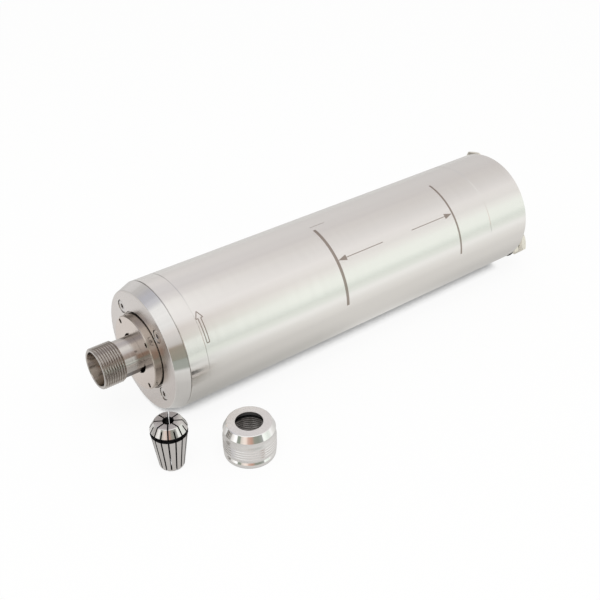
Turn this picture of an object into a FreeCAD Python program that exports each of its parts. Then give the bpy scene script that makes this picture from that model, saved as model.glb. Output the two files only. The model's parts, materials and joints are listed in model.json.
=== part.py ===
"""Water-cooled motor spindle for a milling machine, with its spring collet and clamping nut beside it.

The spindle's axis is X, from the nose to the rear end, and Z is up. The origin is on that axis, in the
middle of the zone where a mount grips the housing. The spindle lies on the ground, and the collet and the
nut stand on the same ground, in front of it. Angles around X are counted from -Y towards +Z.
Sizes are in millimetres and degrees.
"""
import FreeCAD, Part
import math
import os
import Sketcher

Vector = FreeCAD.Vector

SIZES = {
    # Housing
    "housing_radius": 40.0,
    "clamp_to_joint": 165.0,
    "housing_length": 280.3,
    "front_band": 12.1,
    "rear_band": 35.6,
    "jacket_wall": 3.2,
    "edge_break": 0.2,
    "lie_angle": 1.5,
    "overcut": 1.0,
    # Front cover
    "cover_thickness": 8.6,
    "cover_cone_drop": 3.0,
    "recess_radius": 24.0,
    "recess_depth": 4.2,
    "cover_bore_radius": 16.4,
    "cover_spigot_length": 2.0,
    "cover_spigot_inner": 20.6,
    "screw_circle_radius": 28.6,
    "screw_count": 4,
    "screw_head_radius": 3.5,
    "screw_head_height": 4.0,
    "screw_radius": 2.0,
    "screw_reach": 10.0,
    "counterbore_radius": 4.2,
    "counterbore_depth": 4.6,
    "screw_key_radius": 1.73,
    "screw_key_depth": 2.0,
    # Shaft
    "nose_reach": 39.1,
    "thread_radius": 12.5,
    "thread_length": 13.9,
    "thread_chamfer": 0.6,
    "neck_radius": 11.5,
    "flat_distance": 10.5,
    "flat_angle": -38.0,
    "taper_half_angle": 8.0,
    "mouth_radius": 10.4,
    "taper_depth": 26.5,
    "drill_radius": 6.0,
    "drill_depth": 48.0,
    "front_seat_radius": 12.5,
    "shoulder_radius": 15.0,
    "shoulder_length": 10.0,
    "core_seat_radius": 12.0,
    "rear_waist_radius": 10.4,
    "rear_seat_radius": 8.5,
    "shaft_end_radius": 8.3,
    # Slinger disc
    "disc_radius": 23.0,
    "disc_stand": 5.0,
    "disc_chamfer": 0.8,
    "disc_gap": 0.8,
    "disc_hub_radius": 15.6,
    "disc_neck_depth": 2.1,
    "pin_hole_circle": 20.3,
    "pin_hole_radius": 1.3,
    "pin_hole_depth": 4.0,
    "pin_hole_count": 4,
    # Front bearings
    "front_bearing_outer": 23.5,
    "front_bearing_width": 12.0,
    "front_pitch": 18.0,
    "front_ball": 3.0,
    "front_shoulder_step": 2.0,
    "front_ball_count": 11,
    "bearing_spacer": 6.0,
    "race_clearance": 0.15,
    "cage_thickness": 2.2,
    "cage_edge": 1.2,
    "pocket_clearance": 0.2,
    # Rear bearings
    "rear_bearing_outer": 17.5,
    "rear_bearing_width": 10.0,
    "rear_pitch": 13.0,
    "rear_ball": 2.3,
    "rear_shoulder_step": 1.5,
    "rear_ball_count": 11,
    "rear_bearing_inset": 8.7,
    "sleeve_wall": 3.4,
    "sleeve_clearance": 0.03,
    "sleeve_lip": 2.0,
    "spring_travel": 2.4,
    "spring_thickness": 0.8,
    "lock_nut_width": 6.0,
    "lock_nut_radius": 12.5,
    # Cooling and stator
    "front_spigot_length": 24.0,
    "rear_spigot_length": 16.0,
    "sleeve_end_gap": 2.0,
    "channel_width": 8.0,
    "channel_pitch": 12.0,
    "channel_depth": 2.8,
    "channel_count": 14,
    "gallery_radius": 1.4,
    "gallery_inset": 3.4,
    "sleeve_thickness": 5.2,
    "stator_length": 100.0,
    "stator_start": 72.0,
    "slot_count": 18,
    "slot_width": 3.6,
    "stator_yoke": 3.6,
    "slot_liner": 0.15,
    "end_winding": 14.0,
    "end_winding_inset": 1.0,
    "slot_mouth": 1.0,
    "seal_section": 0.8,
    "seal_side_gap": 0.2,
    "seal_inset": 6.0,
    # Rotor
    "air_gap": 0.4,
    "bar_count": 16,
    "bar_radius": 1.4,
    "bar_cover": 1.2,
    "end_ring": 4.0,
    "end_ring_margin": 1.4,
    "balance_ring": 6.0,
    "balance_ring_step": 2.6,
    "balance_hole_radius": 1.25,
    "balance_hole_depth": 2.5,
    "balance_hole_angle": 30.0,
    # Rear end
    "chamber_radius": 16.0,
    "chamber_depth": 9.0,
    "chamber_wall": 3.0,
    "waist_clearance": 2.0,
    "plate_radius": 21.8,
    "plate_thickness": 4.0,
    "plate_screw_circle": 18.9,
    "plate_screw_head_radius": 2.25,
    "plate_screw_radius": 1.25,
    "plate_screw_reach": 5.0,
    "plate_screw_head_height": 2.4,
    "plate_screw_count": 4,
    "plate_screw_key_radius": 1.15,
    "plate_screw_key_depth": 1.3,
    # Socket
    "socket_radius": 7.8,
    "socket_flange_radius": 10.2,
    "socket_flange": 2.0,
    "socket_reach": 12.0,
    "socket_wall": 1.3,
    "socket_inside": 9.0,
    "socket_nut_radius": 9.6,
    "socket_nut": 2.4,
    "socket_thread_run": 1.0,
    "contact_radius": 0.9,
    "contact_circle": 3.3,
    "contact_count": 4,
    "contact_front": 4.0,
    "contact_back": 2.0,
    # Water fittings
    "fitting_inset": 7.6,
    "fitting_angle": 135.0,
    "fitting_flats": 16.0,
    "fitting_body": 5.2,
    "fitting_groove": 1.2,
    "fitting_groove_radius": 6.6,
    "fitting_stem": 4.9,
    "fitting_stem_length": 9.0,
    "fitting_barrel": 7.4,
    "fitting_barrel_length": 4.2,
    "fitting_nut_flats": 17.0,
    "fitting_nut_length": 6.8,
    "fitting_nut_lip": 2.0,
    "fitting_hex_turn": 44.8,
    "fitting_chamfer": 0.3,
    "washer_thickness": 1.5,
    "washer_radius": 8.3,
    "hose_radius": 4.05,
    "hose_depth": 9.0,
    "hose_clearance": 0.2,
    "water_way": 2.4,
    "port_depth": 11.0,
    # Collet
    "collet_from_joint": -23.9,
    "collet_aside": 52.6,
    "collet_turn": -117.3,
    "collet_radius": 10.5,
    "collet_length": 31.5,
    "collet_groove_low": 24.3,
    "collet_groove_width": 2.6,
    "collet_groove_depth": 1.5,
    "collet_top_radius": 8.3,
    "collet_foot_chamfer": 0.6,
    "collet_edge": 0.25,
    "collet_bore": 3.0,
    "collet_bore_length": 20.0,
    "collet_relief": 3.6,
    "slit_width": 0.7,
    "slit_count": 8,
    "slit_stop_low": 2.2,
    "slit_stop_high": 1.2,
    # Clamping nut
    "nut_from_joint": 15.8,
    "nut_aside": 72.5,
    "nut_radius": 15.3,
    "nut_height": 22.2,
    "nut_face_radius": 12.9,
    "nut_cone_foot": 18.6,
    "nut_shoulder_radius": 14.95,
    "nut_waist_radius": 14.6,
    "nut_waist_run": 1.6,
    "nut_foot_radius": 14.9,
    "nut_band_low": 5.4,
    "nut_band_high": 12.8,
    "nut_grooves": 4,
    "nut_groove_depth": 0.3,
    "nut_groove_pitch": 1.75,
    "nut_thread_radius": 11.75,
    "nut_thread_length": 13.0,
    "nut_relief_radius": 12.8,
    "nut_hole_radius": 7.9,
    "nut_lip": 1.2,
    "ring_radius": 10.6,
    "ring_height": 6.2,
    "ring_lip_height": 1.4,
    "ring_lip_radius": 9.3,
    "ring_cone_foot": 10.0,
    "ring_top_radius": 8.2,
    "ring_shift": 0.35,
}

doc = FreeCAD.newDocument("motor_spindle")
sheet = doc.addObject("Spreadsheet::Sheet", "sizes")
for row, (size_name, number) in enumerate(SIZES.items(), start=1):
    sheet.set(f"A{row}", size_name)
    sheet.set(f"B{row}", str(number))
    sheet.setAlias(f"B{row}", size_name)
doc.recompute()


class Term:
    """A size, held both as the text of an expression and as the number that it gives."""

    def __init__(self, text, value):
        self.text = text
        self.value = float(value)

    def __add__(self, other):
        other = term(other)
        return Term(f"({self.text} + {other.text})", self.value + other.value)

    def __sub__(self, other):
        other = term(other)
        return Term(f"({self.text} - {other.text})", self.value - other.value)

    def __mul__(self, other):
        other = term(other)
        return Term(f"({self.text} * {other.text})", self.value * other.value)

    def __truediv__(self, other):
        other = term(other)
        return Term(f"({self.text} / {other.text})", self.value / other.value)

    def __neg__(self):
        return Term(f"(0 - {self.text})", -self.value)

    __radd__ = __add__
    __rmul__ = __mul__

    def __rsub__(self, other):
        return term(other) - self

    def __rtruediv__(self, other):
        return term(other) / self


def term(size):
    """Any size as a term: a term itself, a name of the sheet or a bare number."""
    if isinstance(size, Term):
        return size
    if isinstance(size, str):
        return Term(f"sizes.{size}", SIZES[size])
    return Term(f"{size}", size)


def sine(angle):
    angle = term(angle)
    return Term(f"sin({angle.text})", math.sin(math.radians(angle.value)))


def cosine(angle):
    angle = term(angle)
    return Term(f"cos({angle.text})", math.cos(math.radians(angle.value)))


def tangent(angle):
    angle = term(angle)
    return Term(f"tan({angle.text})", math.tan(math.radians(angle.value)))


class Sizes:
    """Gives each named size of the sheet as a term."""

    def __getattr__(self, name):
        return term(name)


size = Sizes()


def bind(thing, field, value):
    """Binds a property of a document object to a term."""
    thing.setExpression(field, term(value).text)


def origin_feature(body, role):
    """A plane or an axis of the body's own origin."""
    return next(feature for feature in body.Origin.OriginFeatures if feature.Role == role)


def new_body(label):
    body = doc.addObject("PartDesign::Body", label)
    body.Label = label
    return body


def attach(feature, body, role, offset=None):
    """Lays a sketch or a primitive on an origin plane, moved along the plane's normal."""
    feature.AttachmentSupport = [(origin_feature(body, role), "")]
    feature.MapMode = "FlatFace"
    if offset is not None:
        bind(feature, "AttachmentOffset.Base.z", offset)


def pin_point(sketch, edge, end, across, up):
    """Holds the end of an edge at a place that two terms give."""
    for kind, distance in (("DistanceX", across), ("DistanceY", up)):
        distance = term(distance)
        constraint = Sketcher.Constraint(kind, -1, 1, edge, end, distance.value)
        sketch.setExpression(f"Constraints[{sketch.addConstraint(constraint)}]", distance.text)


def outline_sketch(body, corners, role="XZ_Plane", offset=None):
    """A closed outline of straight lines through corners, each given by two terms."""
    sketch = body.newObject("Sketcher::SketchObject", f"{body.Label}_outline")
    attach(sketch, body, role, offset)
    corners = [(term(across), term(up)) for across, up in corners]
    places = [Vector(across.value, up.value, 0) for across, up in corners]
    count = len(places)
    for index in range(count):
        sketch.addGeometry(Part.LineSegment(places[index], places[(index + 1) % count]))
    for index in range(count):
        sketch.addConstraint(Sketcher.Constraint("Coincident", index, 2, (index + 1) % count, 1))
    for index, (across, up) in enumerate(corners):
        pin_point(sketch, index, 1, across, up)
    return sketch


def circle_sketch(body, circles, role="YZ_Plane", offset=None):
    """A sketch of circles, each given by its centre and its radius."""
    sketch = body.newObject("Sketcher::SketchObject", f"{body.Label}_circles")
    attach(sketch, body, role, offset)
    for index, (across, up, radius) in enumerate(circles):
        across, up, radius = term(across), term(up), term(radius)
        centre = Vector(across.value, up.value, 0)
        sketch.addGeometry(Part.Circle(centre, Vector(0, 0, 1), radius.value))
        pin_point(sketch, index, 3, across, up)
        constraint = Sketcher.Constraint("Radius", index, radius.value)
        sketch.setExpression(f"Constraints[{sketch.addConstraint(constraint)}]", radius.text)
    return sketch


def revolve(body, corners, kind="Revolution", role="XZ_Plane", axis="H_Axis"):
    """Turns an outline of (along, radius) corners a full circle about an axis of its sketch."""
    sketch = outline_sketch(body, corners, role)
    feature = body.newObject(f"PartDesign::{kind}", f"{body.Label}_turned")
    feature.Profile = sketch
    feature.ReferenceAxis = (sketch, [axis])
    feature.Angle = 360
    return feature


def turned(label, corners):
    """A body turned about the spindle's axis from (station, radius) corners."""
    body = new_body(label)
    revolve(body, corners)
    return body


def tube(label, start, end, inner, outer):
    """A plain round tube about the spindle's axis."""
    return turned(label, [(start, inner), (start, outer), (end, outer), (end, inner)])


def on_circle(radius, angle):
    """Y and Z of a point on a circle about X, at an angle from -Y towards +Z."""
    return -(term(radius) * cosine(angle)), term(radius) * sine(angle)


def prism(body, sketch, depth, cut=False, forward=True):
    """Pads or pockets a sketch along its normal, or against it."""
    feature = body.newObject(f"PartDesign::{'Pocket' if cut else 'Pad'}", f"{body.Label}_prism")
    feature.Profile = sketch
    bind(feature, "Length", depth)
    feature.Reversed = forward == cut
    return feature


def around(body, features, count, role="X_Axis"):
    """Repeats features evenly about an axis of the body and makes the pattern its tip."""
    pattern = body.newObject("PartDesign::PolarPattern", f"{body.Label}_around")
    pattern.Originals = features
    pattern.Axis = (origin_feature(body, role), [""])
    pattern.Angle = 360
    bind(pattern, "Occurrences", count)
    body.Tip = pattern
    return pattern


def drill(body, start, radius, angle, hole_radius, depth, count=None, forward=True):
    """Drills a hole along X at a place on a circle, and repeats it round the axis."""
    across, up = on_circle(radius, angle)
    sketch = circle_sketch(body, [(across, up, hole_radius)], offset=start)
    hole = prism(body, sketch, depth, cut=True, forward=forward)
    if count is not None:
        around(body, [hole], count)
    return hole


def hexagon(body, start, centre, corner_radius, turn):
    """A sketch of a regular hexagon across X, with its corner radius and the angle of a corner from Y."""
    corners = []
    for index in range(6):
        corner_angle = term(turn) + 60 * index
        corners.append((centre[0] + corner_radius * cosine(corner_angle),
                        centre[1] + corner_radius * sine(corner_angle)))
    return outline_sketch(body, corners, "YZ_Plane", start)


# Stations along the axis
joint = -size.clamp_to_joint
cover_face = joint - size.cover_thickness
recess_floor = cover_face + size.recess_depth
nose_face = joint - size.nose_reach
thread_end = nose_face + size.thread_length
disc_face = cover_face - size.disc_stand
disc_back = recess_floor - size.disc_gap
bearing_1 = joint + size.cover_spigot_length
bearing_1_end = bearing_1 + size.front_bearing_width
bearing_2 = bearing_1_end + size.bearing_spacer
bearing_2_end = bearing_2 + size.front_bearing_width
front_band_end = joint + size.front_band
front_spigot_end = front_band_end + size.front_spigot_length
rear_face = joint + size.housing_length
rear_band_start = rear_face - size.rear_band
rear_spigot_start = rear_band_start - size.rear_spigot_length
stator_start = joint + size.stator_start
stator_end = stator_start + size.stator_length
rear_bearing_1 = rear_band_start - size.rear_bearing_inset
rear_bearing_2 = rear_bearing_1 + size.rear_bearing_width
rear_bearing_end = rear_bearing_2 + size.rear_bearing_width
shaft_end = rear_bearing_end + size.lock_nut_width
plate_face = rear_face - size.plate_thickness
chamber_floor = plate_face - size.chamber_depth
sleeve_start = front_spigot_end + size.sleeve_end_gap
sleeve_end = rear_spigot_start
front_seal_middle = front_band_end + size.seal_inset
rear_seal_middle = rear_band_start - size.seal_inset
spring_seat = rear_bearing_1 - size.sleeve_lip
rear_lip_end = spring_seat - size.spring_travel
ground = -size.housing_radius

# Radii that several pieces share
jacket_inner = size.housing_radius - size.jacket_wall
gallery_circle = jacket_inner - size.gallery_inset
stator_radius = jacket_inner - size.sleeve_thickness
slot_bottom = stator_radius - size.stator_yoke
end_winding_radius = stator_radius - size.end_winding_inset
fitting_circle = size.housing_radius - size.fitting_inset
recess_angle = size.lie_angle + 45
inlet_angle = size.fitting_angle + size.lie_angle
outlet_angle = inlet_angle - 180
sleeve_outer = size.rear_bearing_outer + size.sleeve_wall
sleeve_bore = sleeve_outer + size.sleeve_clearance
rear_lip_radius = size.rear_waist_radius + size.waist_clearance
rotor_radius = (size.core_seat_radius + slot_bottom) / 2
stator_bore = rotor_radius + size.air_gap
bar_circle = rotor_radius - size.bar_cover - size.bar_radius
end_ring_inner = bar_circle - size.bar_radius - size.end_ring_margin
balance_ring_radius = rotor_radius - size.balance_ring_step


def make_front_cover():
    """Conical cover with the recess that the disc turns in and four counterbored screw holes."""
    body = turned("front_cover", [
        (cover_face, size.recess_radius),
        (cover_face, size.housing_radius - size.cover_cone_drop),
        (joint - size.edge_break, size.housing_radius),
        (joint, size.housing_radius - size.edge_break),
        (joint, size.front_bearing_outer),
        (joint + size.cover_spigot_length, size.front_bearing_outer),
        (joint + size.cover_spigot_length, size.cover_spigot_inner),
        (joint, size.cover_spigot_inner),
        (joint, size.cover_bore_radius),
        (recess_floor, size.cover_bore_radius),
        (recess_floor, size.recess_radius)])
    counterbore = drill(body, cover_face, size.screw_circle_radius, recess_angle,
                        size.counterbore_radius, size.counterbore_depth)
    hole = drill(body, cover_face, size.screw_circle_radius, recess_angle,
                 size.screw_radius, size.cover_thickness)
    around(body, [counterbore, hole], size.screw_count)


def make_socket_screws(label, seat, out, circle, angle, prefix, count):
    """A ring of socket head screws whose heads sit on a seat and point to +X or, with out of -1, to -X."""
    body = new_body(label)
    head_radius, head_height, shank_radius, reach, key_radius, key_depth = (
        term(f"{prefix}_{what}") for what in
        ("head_radius", "head_height", "radius", "reach", "key_radius", "key_depth"))
    across, up = on_circle(circle, angle)
    head = circle_sketch(body, [(across, up, head_radius)], offset=seat)
    head_pad = prism(body, head, head_height, forward=out > 0)
    shank = circle_sketch(body, [(across, up, shank_radius)], offset=seat)
    shank_pad = prism(body, shank, reach, forward=out < 0)
    key = hexagon(body, seat + head_height * out, (across, up), key_radius, angle)
    key_pocket = prism(body, key, key_depth, cut=True, forward=out < 0)
    around(body, [head_pad, shank_pad, key_pocket], count)
    return body


def make_front_bearing_housing():
    """Band behind the cover with the bore of the front bearings and the spigot that enters the jacket."""
    body = turned("front_bearing_housing", [
        (joint, size.front_bearing_outer),
        (joint, size.housing_radius - size.edge_break),
        (joint + size.edge_break, size.housing_radius),
        (front_band_end - size.edge_break, size.housing_radius),
        (front_band_end, size.housing_radius - size.edge_break),
        (front_band_end, jacket_inner),
        (front_spigot_end, jacket_inner),
        (front_spigot_end, size.cover_spigot_inner),
        (bearing_2_end, size.cover_spigot_inner),
        (bearing_2_end, size.front_bearing_outer)])
    cut_seal_groove(body, front_seal_middle)
    drill(body, joint, size.screw_circle_radius, recess_angle, size.screw_radius,
          size.screw_reach, size.screw_count)


def make_outer_jacket():
    """Long plain tube of the housing, the part that a mount grips."""
    turned("outer_jacket", [
        (front_band_end, jacket_inner),
        (front_band_end, size.housing_radius - size.edge_break),
        (front_band_end + size.edge_break, size.housing_radius),
        (rear_band_start - size.edge_break, size.housing_radius),
        (rear_band_start, size.housing_radius - size.edge_break),
        (rear_band_start, jacket_inner)])


def make_cooling_sleeve():
    """Sleeve around the stator: ring channels that one gallery feeds and the opposite one drains."""
    body = tube("cooling_sleeve", sleeve_start, sleeve_end, stator_radius, jacket_inner)
    channel_run = size.channel_pitch * (size.channel_count - 1) + size.channel_width
    first = (sleeve_start + sleeve_end - channel_run) / 2
    channel = revolve(body, [
        (first, jacket_inner - size.channel_depth),
        (first, size.housing_radius),
        (first + size.channel_width, size.housing_radius),
        (first + size.channel_width, jacket_inner - size.channel_depth)], "Groove")
    pattern = body.newObject("PartDesign::LinearPattern", "cooling_sleeve_channels")
    pattern.Originals = [channel]
    pattern.Direction = (origin_feature(body, "X_Axis"), [""])
    bind(pattern, "Length", size.channel_pitch * (size.channel_count - 1))
    bind(pattern, "Occurrences", size.channel_count)
    body.Tip = pattern
    doc.recompute()
    for angle in (inlet_angle, outlet_angle):
        drill(body, sleeve_end, gallery_circle, angle, size.gallery_radius,
              sleeve_end - first, forward=False)


def turn_circle(body, middle, ring_radius, section, kind):
    """Turns a circle about the spindle's axis, to add a ring or to cut a round groove."""
    sketch = circle_sketch(body, [(middle, ring_radius, section)], "XZ_Plane")
    feature = body.newObject(f"PartDesign::{kind}", f"{body.Label}_ring")
    feature.Profile = sketch
    feature.ReferenceAxis = (sketch, ["H_Axis"])
    feature.Angle = 360


def make_jacket_seal(label, middle):
    """Rubber ring in a spigot's groove, tight against the bore of the jacket."""
    turn_circle(new_body(label), middle, jacket_inner - size.seal_section, size.seal_section, "Revolution")


def cut_seal_groove(body, middle):
    """Groove in a spigot for a rubber ring."""
    half = size.seal_section + size.seal_side_gap
    floor = jacket_inner - size.seal_section * 2
    revolve(body, [(middle - half, floor), (middle - half, size.housing_radius),
                   (middle + half, size.housing_radius), (middle + half, floor)], "Groove")


def make_stator_core():
    """Stack of laminations with open slots."""
    body = tube("stator_core", stator_start, stator_end, stator_bore, stator_radius)
    half = size.slot_width / 2
    slot = outline_sketch(body, [
        (-half, stator_bore - size.overcut), (half, stator_bore - size.overcut),
        (half, slot_bottom), (-half, slot_bottom)], "YZ_Plane", stator_start)
    pocket = prism(body, slot, size.stator_length, cut=True)
    around(body, [pocket], size.slot_count)


def make_stator_windings():
    """Copper in the slots, joined by the turns that stand out at both ends."""
    bar_inner = stator_bore + size.slot_mouth
    front_end = stator_start - size.end_winding
    rear_end = stator_end + size.end_winding
    body = tube("stator_windings", front_end, stator_start, bar_inner, end_winding_radius)
    revolve(body, [
        (stator_end, bar_inner), (stator_end, end_winding_radius),
        (rear_end, end_winding_radius), (rear_end, bar_inner)])
    half = size.slot_width / 2 - size.slot_liner
    bar = outline_sketch(body, [
        (-half, bar_inner + size.slot_liner), (half, bar_inner + size.slot_liner),
        (half, slot_bottom - size.slot_liner),
        (-half, slot_bottom - size.slot_liner)], "YZ_Plane", stator_start)
    pad = prism(body, bar, size.stator_length)
    around(body, [pad], size.slot_count)


def make_bearing(name, start, width, inner, outer, pitch, ball, step, count):
    """The four pieces of one ball bearing: two rings, the cage and the balls."""
    end = start + width
    middle = (start + end) / 2
    race = ball + size.race_clearance
    for label, low, high in ((f"{name}_inner_ring", inner, pitch - step),
                             (f"{name}_outer_ring", pitch + step, outer)):
        body = tube(label, start, end, low, high)
        turn_circle(body, middle, pitch, race, "Groove")
    half_cage = size.cage_thickness / 2
    cage_half_width = ball + size.cage_edge
    cage = tube(f"{name}_cage", middle - cage_half_width, middle + cage_half_width,
                pitch - half_cage, pitch + half_cage)
    pocket_sketch = circle_sketch(cage, [(middle, 0, ball + size.pocket_clearance)], "XY_Plane")
    pocket = prism(cage, pocket_sketch, pitch + ball, cut=True)
    around(cage, [pocket], count)
    balls = new_body(f"{name}_balls")
    first = balls.newObject("PartDesign::AdditiveSphere", f"{name}_ball")
    attach(first, balls, "XY_Plane", pitch)
    bind(first, "AttachmentOffset.Base.x", middle)
    bind(first, "Radius", ball)
    around(balls, [first], count)


def make_shaft():
    """Hollow nose with the collet taper, thread and neck, the bearing seats and the core's seat."""
    taper_end_radius = size.mouth_radius - size.taper_depth * tangent(size.taper_half_angle)
    taper_end = nose_face + size.taper_depth
    drill_end = nose_face + size.drill_depth
    neck_end = disc_face + size.disc_neck_depth
    shoulder_end = bearing_2_end + size.shoulder_length
    core_seat_end = stator_end + size.end_ring + size.balance_ring
    body = turned("shaft", [
        (nose_face, size.mouth_radius),
        (nose_face, size.thread_radius - size.thread_chamfer),
        (nose_face + size.thread_chamfer, size.thread_radius),
        (thread_end - size.thread_chamfer, size.thread_radius),
        (thread_end, size.neck_radius),
        (neck_end, size.neck_radius),
        (neck_end, size.front_seat_radius),
        (bearing_2_end, size.front_seat_radius),
        (bearing_2_end, size.shoulder_radius),
        (shoulder_end, size.shoulder_radius),
        (shoulder_end, size.core_seat_radius),
        (core_seat_end, size.core_seat_radius),
        (core_seat_end, size.rear_waist_radius),
        (rear_bearing_1, size.rear_waist_radius),
        (rear_bearing_1, size.rear_seat_radius),
        (rear_bearing_end, size.rear_seat_radius),
        (rear_bearing_end, size.shaft_end_radius),
        (shaft_end, size.shaft_end_radius),
        (shaft_end, 0),
        (drill_end, 0),
        (drill_end - size.drill_radius / 2, size.drill_radius),
        (taper_end, size.drill_radius),
        (taper_end, taper_end_radius)])
    add_neck_flats(body, thread_end, neck_end - thread_end)


def add_neck_flats(body, start, length):
    """Two spanner flats on opposite sides of the neck."""
    out_y, out_z = on_circle(1, size.flat_angle)
    reach = size.thread_radius + size.overcut
    corners = []
    for radial, aside in ((size.flat_distance, -reach), (reach, -reach),
                          (reach, reach), (size.flat_distance, reach)):
        corners.append((radial * out_y - aside * out_z, radial * out_z + aside * out_y))
    pocket = prism(body, outline_sketch(body, corners, "YZ_Plane", start), length, cut=True)
    around(body, [pocket], 2)


def make_slinger_disc():
    """Disc nut that keeps coolant out of the bearings, with four pin spanner holes in its face."""
    neck_end = disc_face + size.disc_neck_depth
    body = turned("slinger_disc", [
        (disc_face, size.front_seat_radius),
        (disc_face, size.disc_radius - size.disc_chamfer),
        (disc_face + size.disc_chamfer, size.disc_radius),
        (disc_back, size.disc_radius),
        (disc_back, size.disc_hub_radius),
        (bearing_1, size.disc_hub_radius),
        (bearing_1, size.front_seat_radius)])
    drill(body, disc_face, size.pin_hole_circle, recess_angle, size.pin_hole_radius,
          size.pin_hole_depth, size.pin_hole_count)


def make_rotor_core():
    """Stack of rotor laminations with closed holes for the cage bars."""
    body = tube("rotor_core", stator_start, stator_end, size.core_seat_radius, rotor_radius)
    drill(body, stator_start, bar_circle, 0, size.bar_radius, size.stator_length, size.bar_count)


def make_rotor_cage():
    """Cast cage of the rotor: bars through the core and a ring at each end."""
    outer = rotor_radius - size.bar_cover / 2
    body = tube("rotor_cage", stator_start - size.end_ring, stator_start, end_ring_inner, outer)
    rear_end = stator_end + size.end_ring
    revolve(body, [(stator_end, end_ring_inner), (stator_end, outer),
                   (rear_end, outer), (rear_end, end_ring_inner)])
    across, up = on_circle(bar_circle, 0)
    bar = circle_sketch(body, [(across, up, size.bar_radius)], offset=stator_start)
    around(body, [prism(body, bar, size.stator_length)], size.bar_count)


def make_balance_ring(label, start, forward):
    """Ring beside the cage with a pit drilled in it to balance the rotor."""
    end = start + size.balance_ring * forward
    body = tube(label, start, end, size.core_seat_radius, balance_ring_radius)
    pit_circle = (size.core_seat_radius + balance_ring_radius) / 2
    drill(body, end, pit_circle, size.balance_hole_angle * forward, size.balance_hole_radius,
          size.balance_hole_depth, forward=forward < 0)


def make_rear_housing():
    """Rear band with the bearing bore, the terminal chamber and the threaded water ports."""
    chamber_back = chamber_floor - size.chamber_wall
    body = turned("rear_housing", [
        (rear_spigot_start, rear_lip_radius),
        (rear_spigot_start, jacket_inner),
        (rear_band_start, jacket_inner),
        (rear_band_start, size.housing_radius - size.edge_break),
        (rear_band_start + size.edge_break, size.housing_radius),
        (rear_face - size.edge_break, size.housing_radius),
        (rear_face, size.housing_radius - size.edge_break),
        (rear_face, size.plate_radius),
        (plate_face, size.plate_radius),
        (plate_face, size.chamber_radius),
        (chamber_floor, size.chamber_radius),
        (chamber_floor, 0),
        (chamber_back, 0),
        (chamber_back, sleeve_bore),
        (rear_lip_end, sleeve_bore),
        (rear_lip_end, rear_lip_radius)])
    cut_seal_groove(body, rear_seal_middle)
    for angle in (inlet_angle, outlet_angle):
        drill(body, rear_face, fitting_circle, angle, size.fitting_stem, size.port_depth,
              forward=False)
        drill(body, rear_face, gallery_circle, angle, size.gallery_radius,
              rear_face - rear_spigot_start, forward=False)
    drill(body, plate_face, size.plate_screw_circle, size.lie_angle, size.plate_screw_radius,
          size.plate_screw_reach, size.plate_screw_count, forward=False)


def make_rear_bearing_sleeve():
    """Sliding sleeve that holds the rear bearings and lets the shaft grow with heat."""
    lip_inner = size.rear_pitch + size.rear_shoulder_step
    turned("rear_bearing_sleeve", [
        (spring_seat, lip_inner),
        (spring_seat, sleeve_outer),
        (rear_bearing_end, sleeve_outer),
        (rear_bearing_end, size.rear_bearing_outer),
        (rear_bearing_1, size.rear_bearing_outer),
        (rear_bearing_1, lip_inner)])


def make_preload_spring():
    """Pair of coned disc springs between the housing's lip and the sleeve."""
    inner = size.rear_bearing_outer
    outer = sleeve_outer - size.sleeve_clearance
    middle = (rear_lip_end + spring_seat) / 2
    turned("preload_spring", [
        (rear_lip_end, inner), (rear_lip_end + size.spring_thickness, inner),
        (middle, outer - size.spring_thickness),
        (spring_seat - size.spring_thickness, inner), (spring_seat, inner),
        (middle + size.spring_thickness, outer), (middle - size.spring_thickness, outer)])


def make_terminal_plate():
    """Round plate that closes the terminal chamber and carries the socket."""
    body = tube("terminal_plate", plate_face, rear_face, size.socket_radius, size.plate_radius)
    hole = drill(body, rear_face, size.plate_screw_circle, size.lie_angle, size.plate_screw_radius,
                 size.plate_thickness, forward=False)
    recess = drill(body, rear_face, size.plate_screw_circle, size.lie_angle, size.plate_screw_head_radius,
                   size.plate_screw_head_height, forward=False)
    around(body, [hole, recess], size.plate_screw_count)


def make_socket():
    """The electrical socket: shell, ring nut, insert and contacts."""
    flange_end = rear_face + size.socket_flange
    shell_end = rear_face + size.socket_reach
    shell_start = plate_face - size.socket_nut - size.socket_thread_run
    inside = size.socket_radius - size.socket_wall
    turned("socket_shell", [
        (shell_start, inside),
        (shell_start, size.socket_radius),
        (rear_face, size.socket_radius),
        (rear_face, size.socket_flange_radius),
        (flange_end, size.socket_flange_radius),
        (flange_end, size.socket_radius),
        (shell_end, size.socket_radius),
        (shell_end, inside)])
    tube("socket_nut", plate_face - size.socket_nut, plate_face, size.socket_radius, size.socket_nut_radius)
    insert_end = shell_end - size.socket_inside
    insert_length = insert_end - shell_start
    insert = turned("socket_insert", [
        (shell_start, 0), (shell_start, inside), (insert_end, inside), (insert_end, 0)])
    drill(insert, shell_start, size.contact_circle, recess_angle, size.contact_radius,
          insert_length, size.contact_count)
    contacts = new_body("socket_contacts")
    across, up = on_circle(size.contact_circle, recess_angle)
    sketch = circle_sketch(contacts, [(across, up, size.contact_radius)],
                           offset=shell_start - size.contact_back)
    pad = prism(contacts, sketch, size.contact_back + insert_length + size.contact_front)
    around(contacts, [pad], size.contact_count)


def place(body, along, across, up):
    """Moves a piece that is made about its own origin to its place."""
    for axis, distance in (("x", along), ("y", across), ("z", up)):
        bind(body, f"Placement.Base.{axis}", distance)


def chamfer_hexagon(body, end, facing, flats):
    """Turns the corners off the end of a hexagon about X; facing is 1 at its +X end and -1 at the other."""
    inner = flats / 2 - size.fitting_chamfer
    outer = flats / 2 / cosine(30) + size.overcut
    back = end - (outer - inner) * tangent(30) * facing
    revolve(body, [(end, inner), (end, outer), (back, outer)], "Groove")


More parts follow.
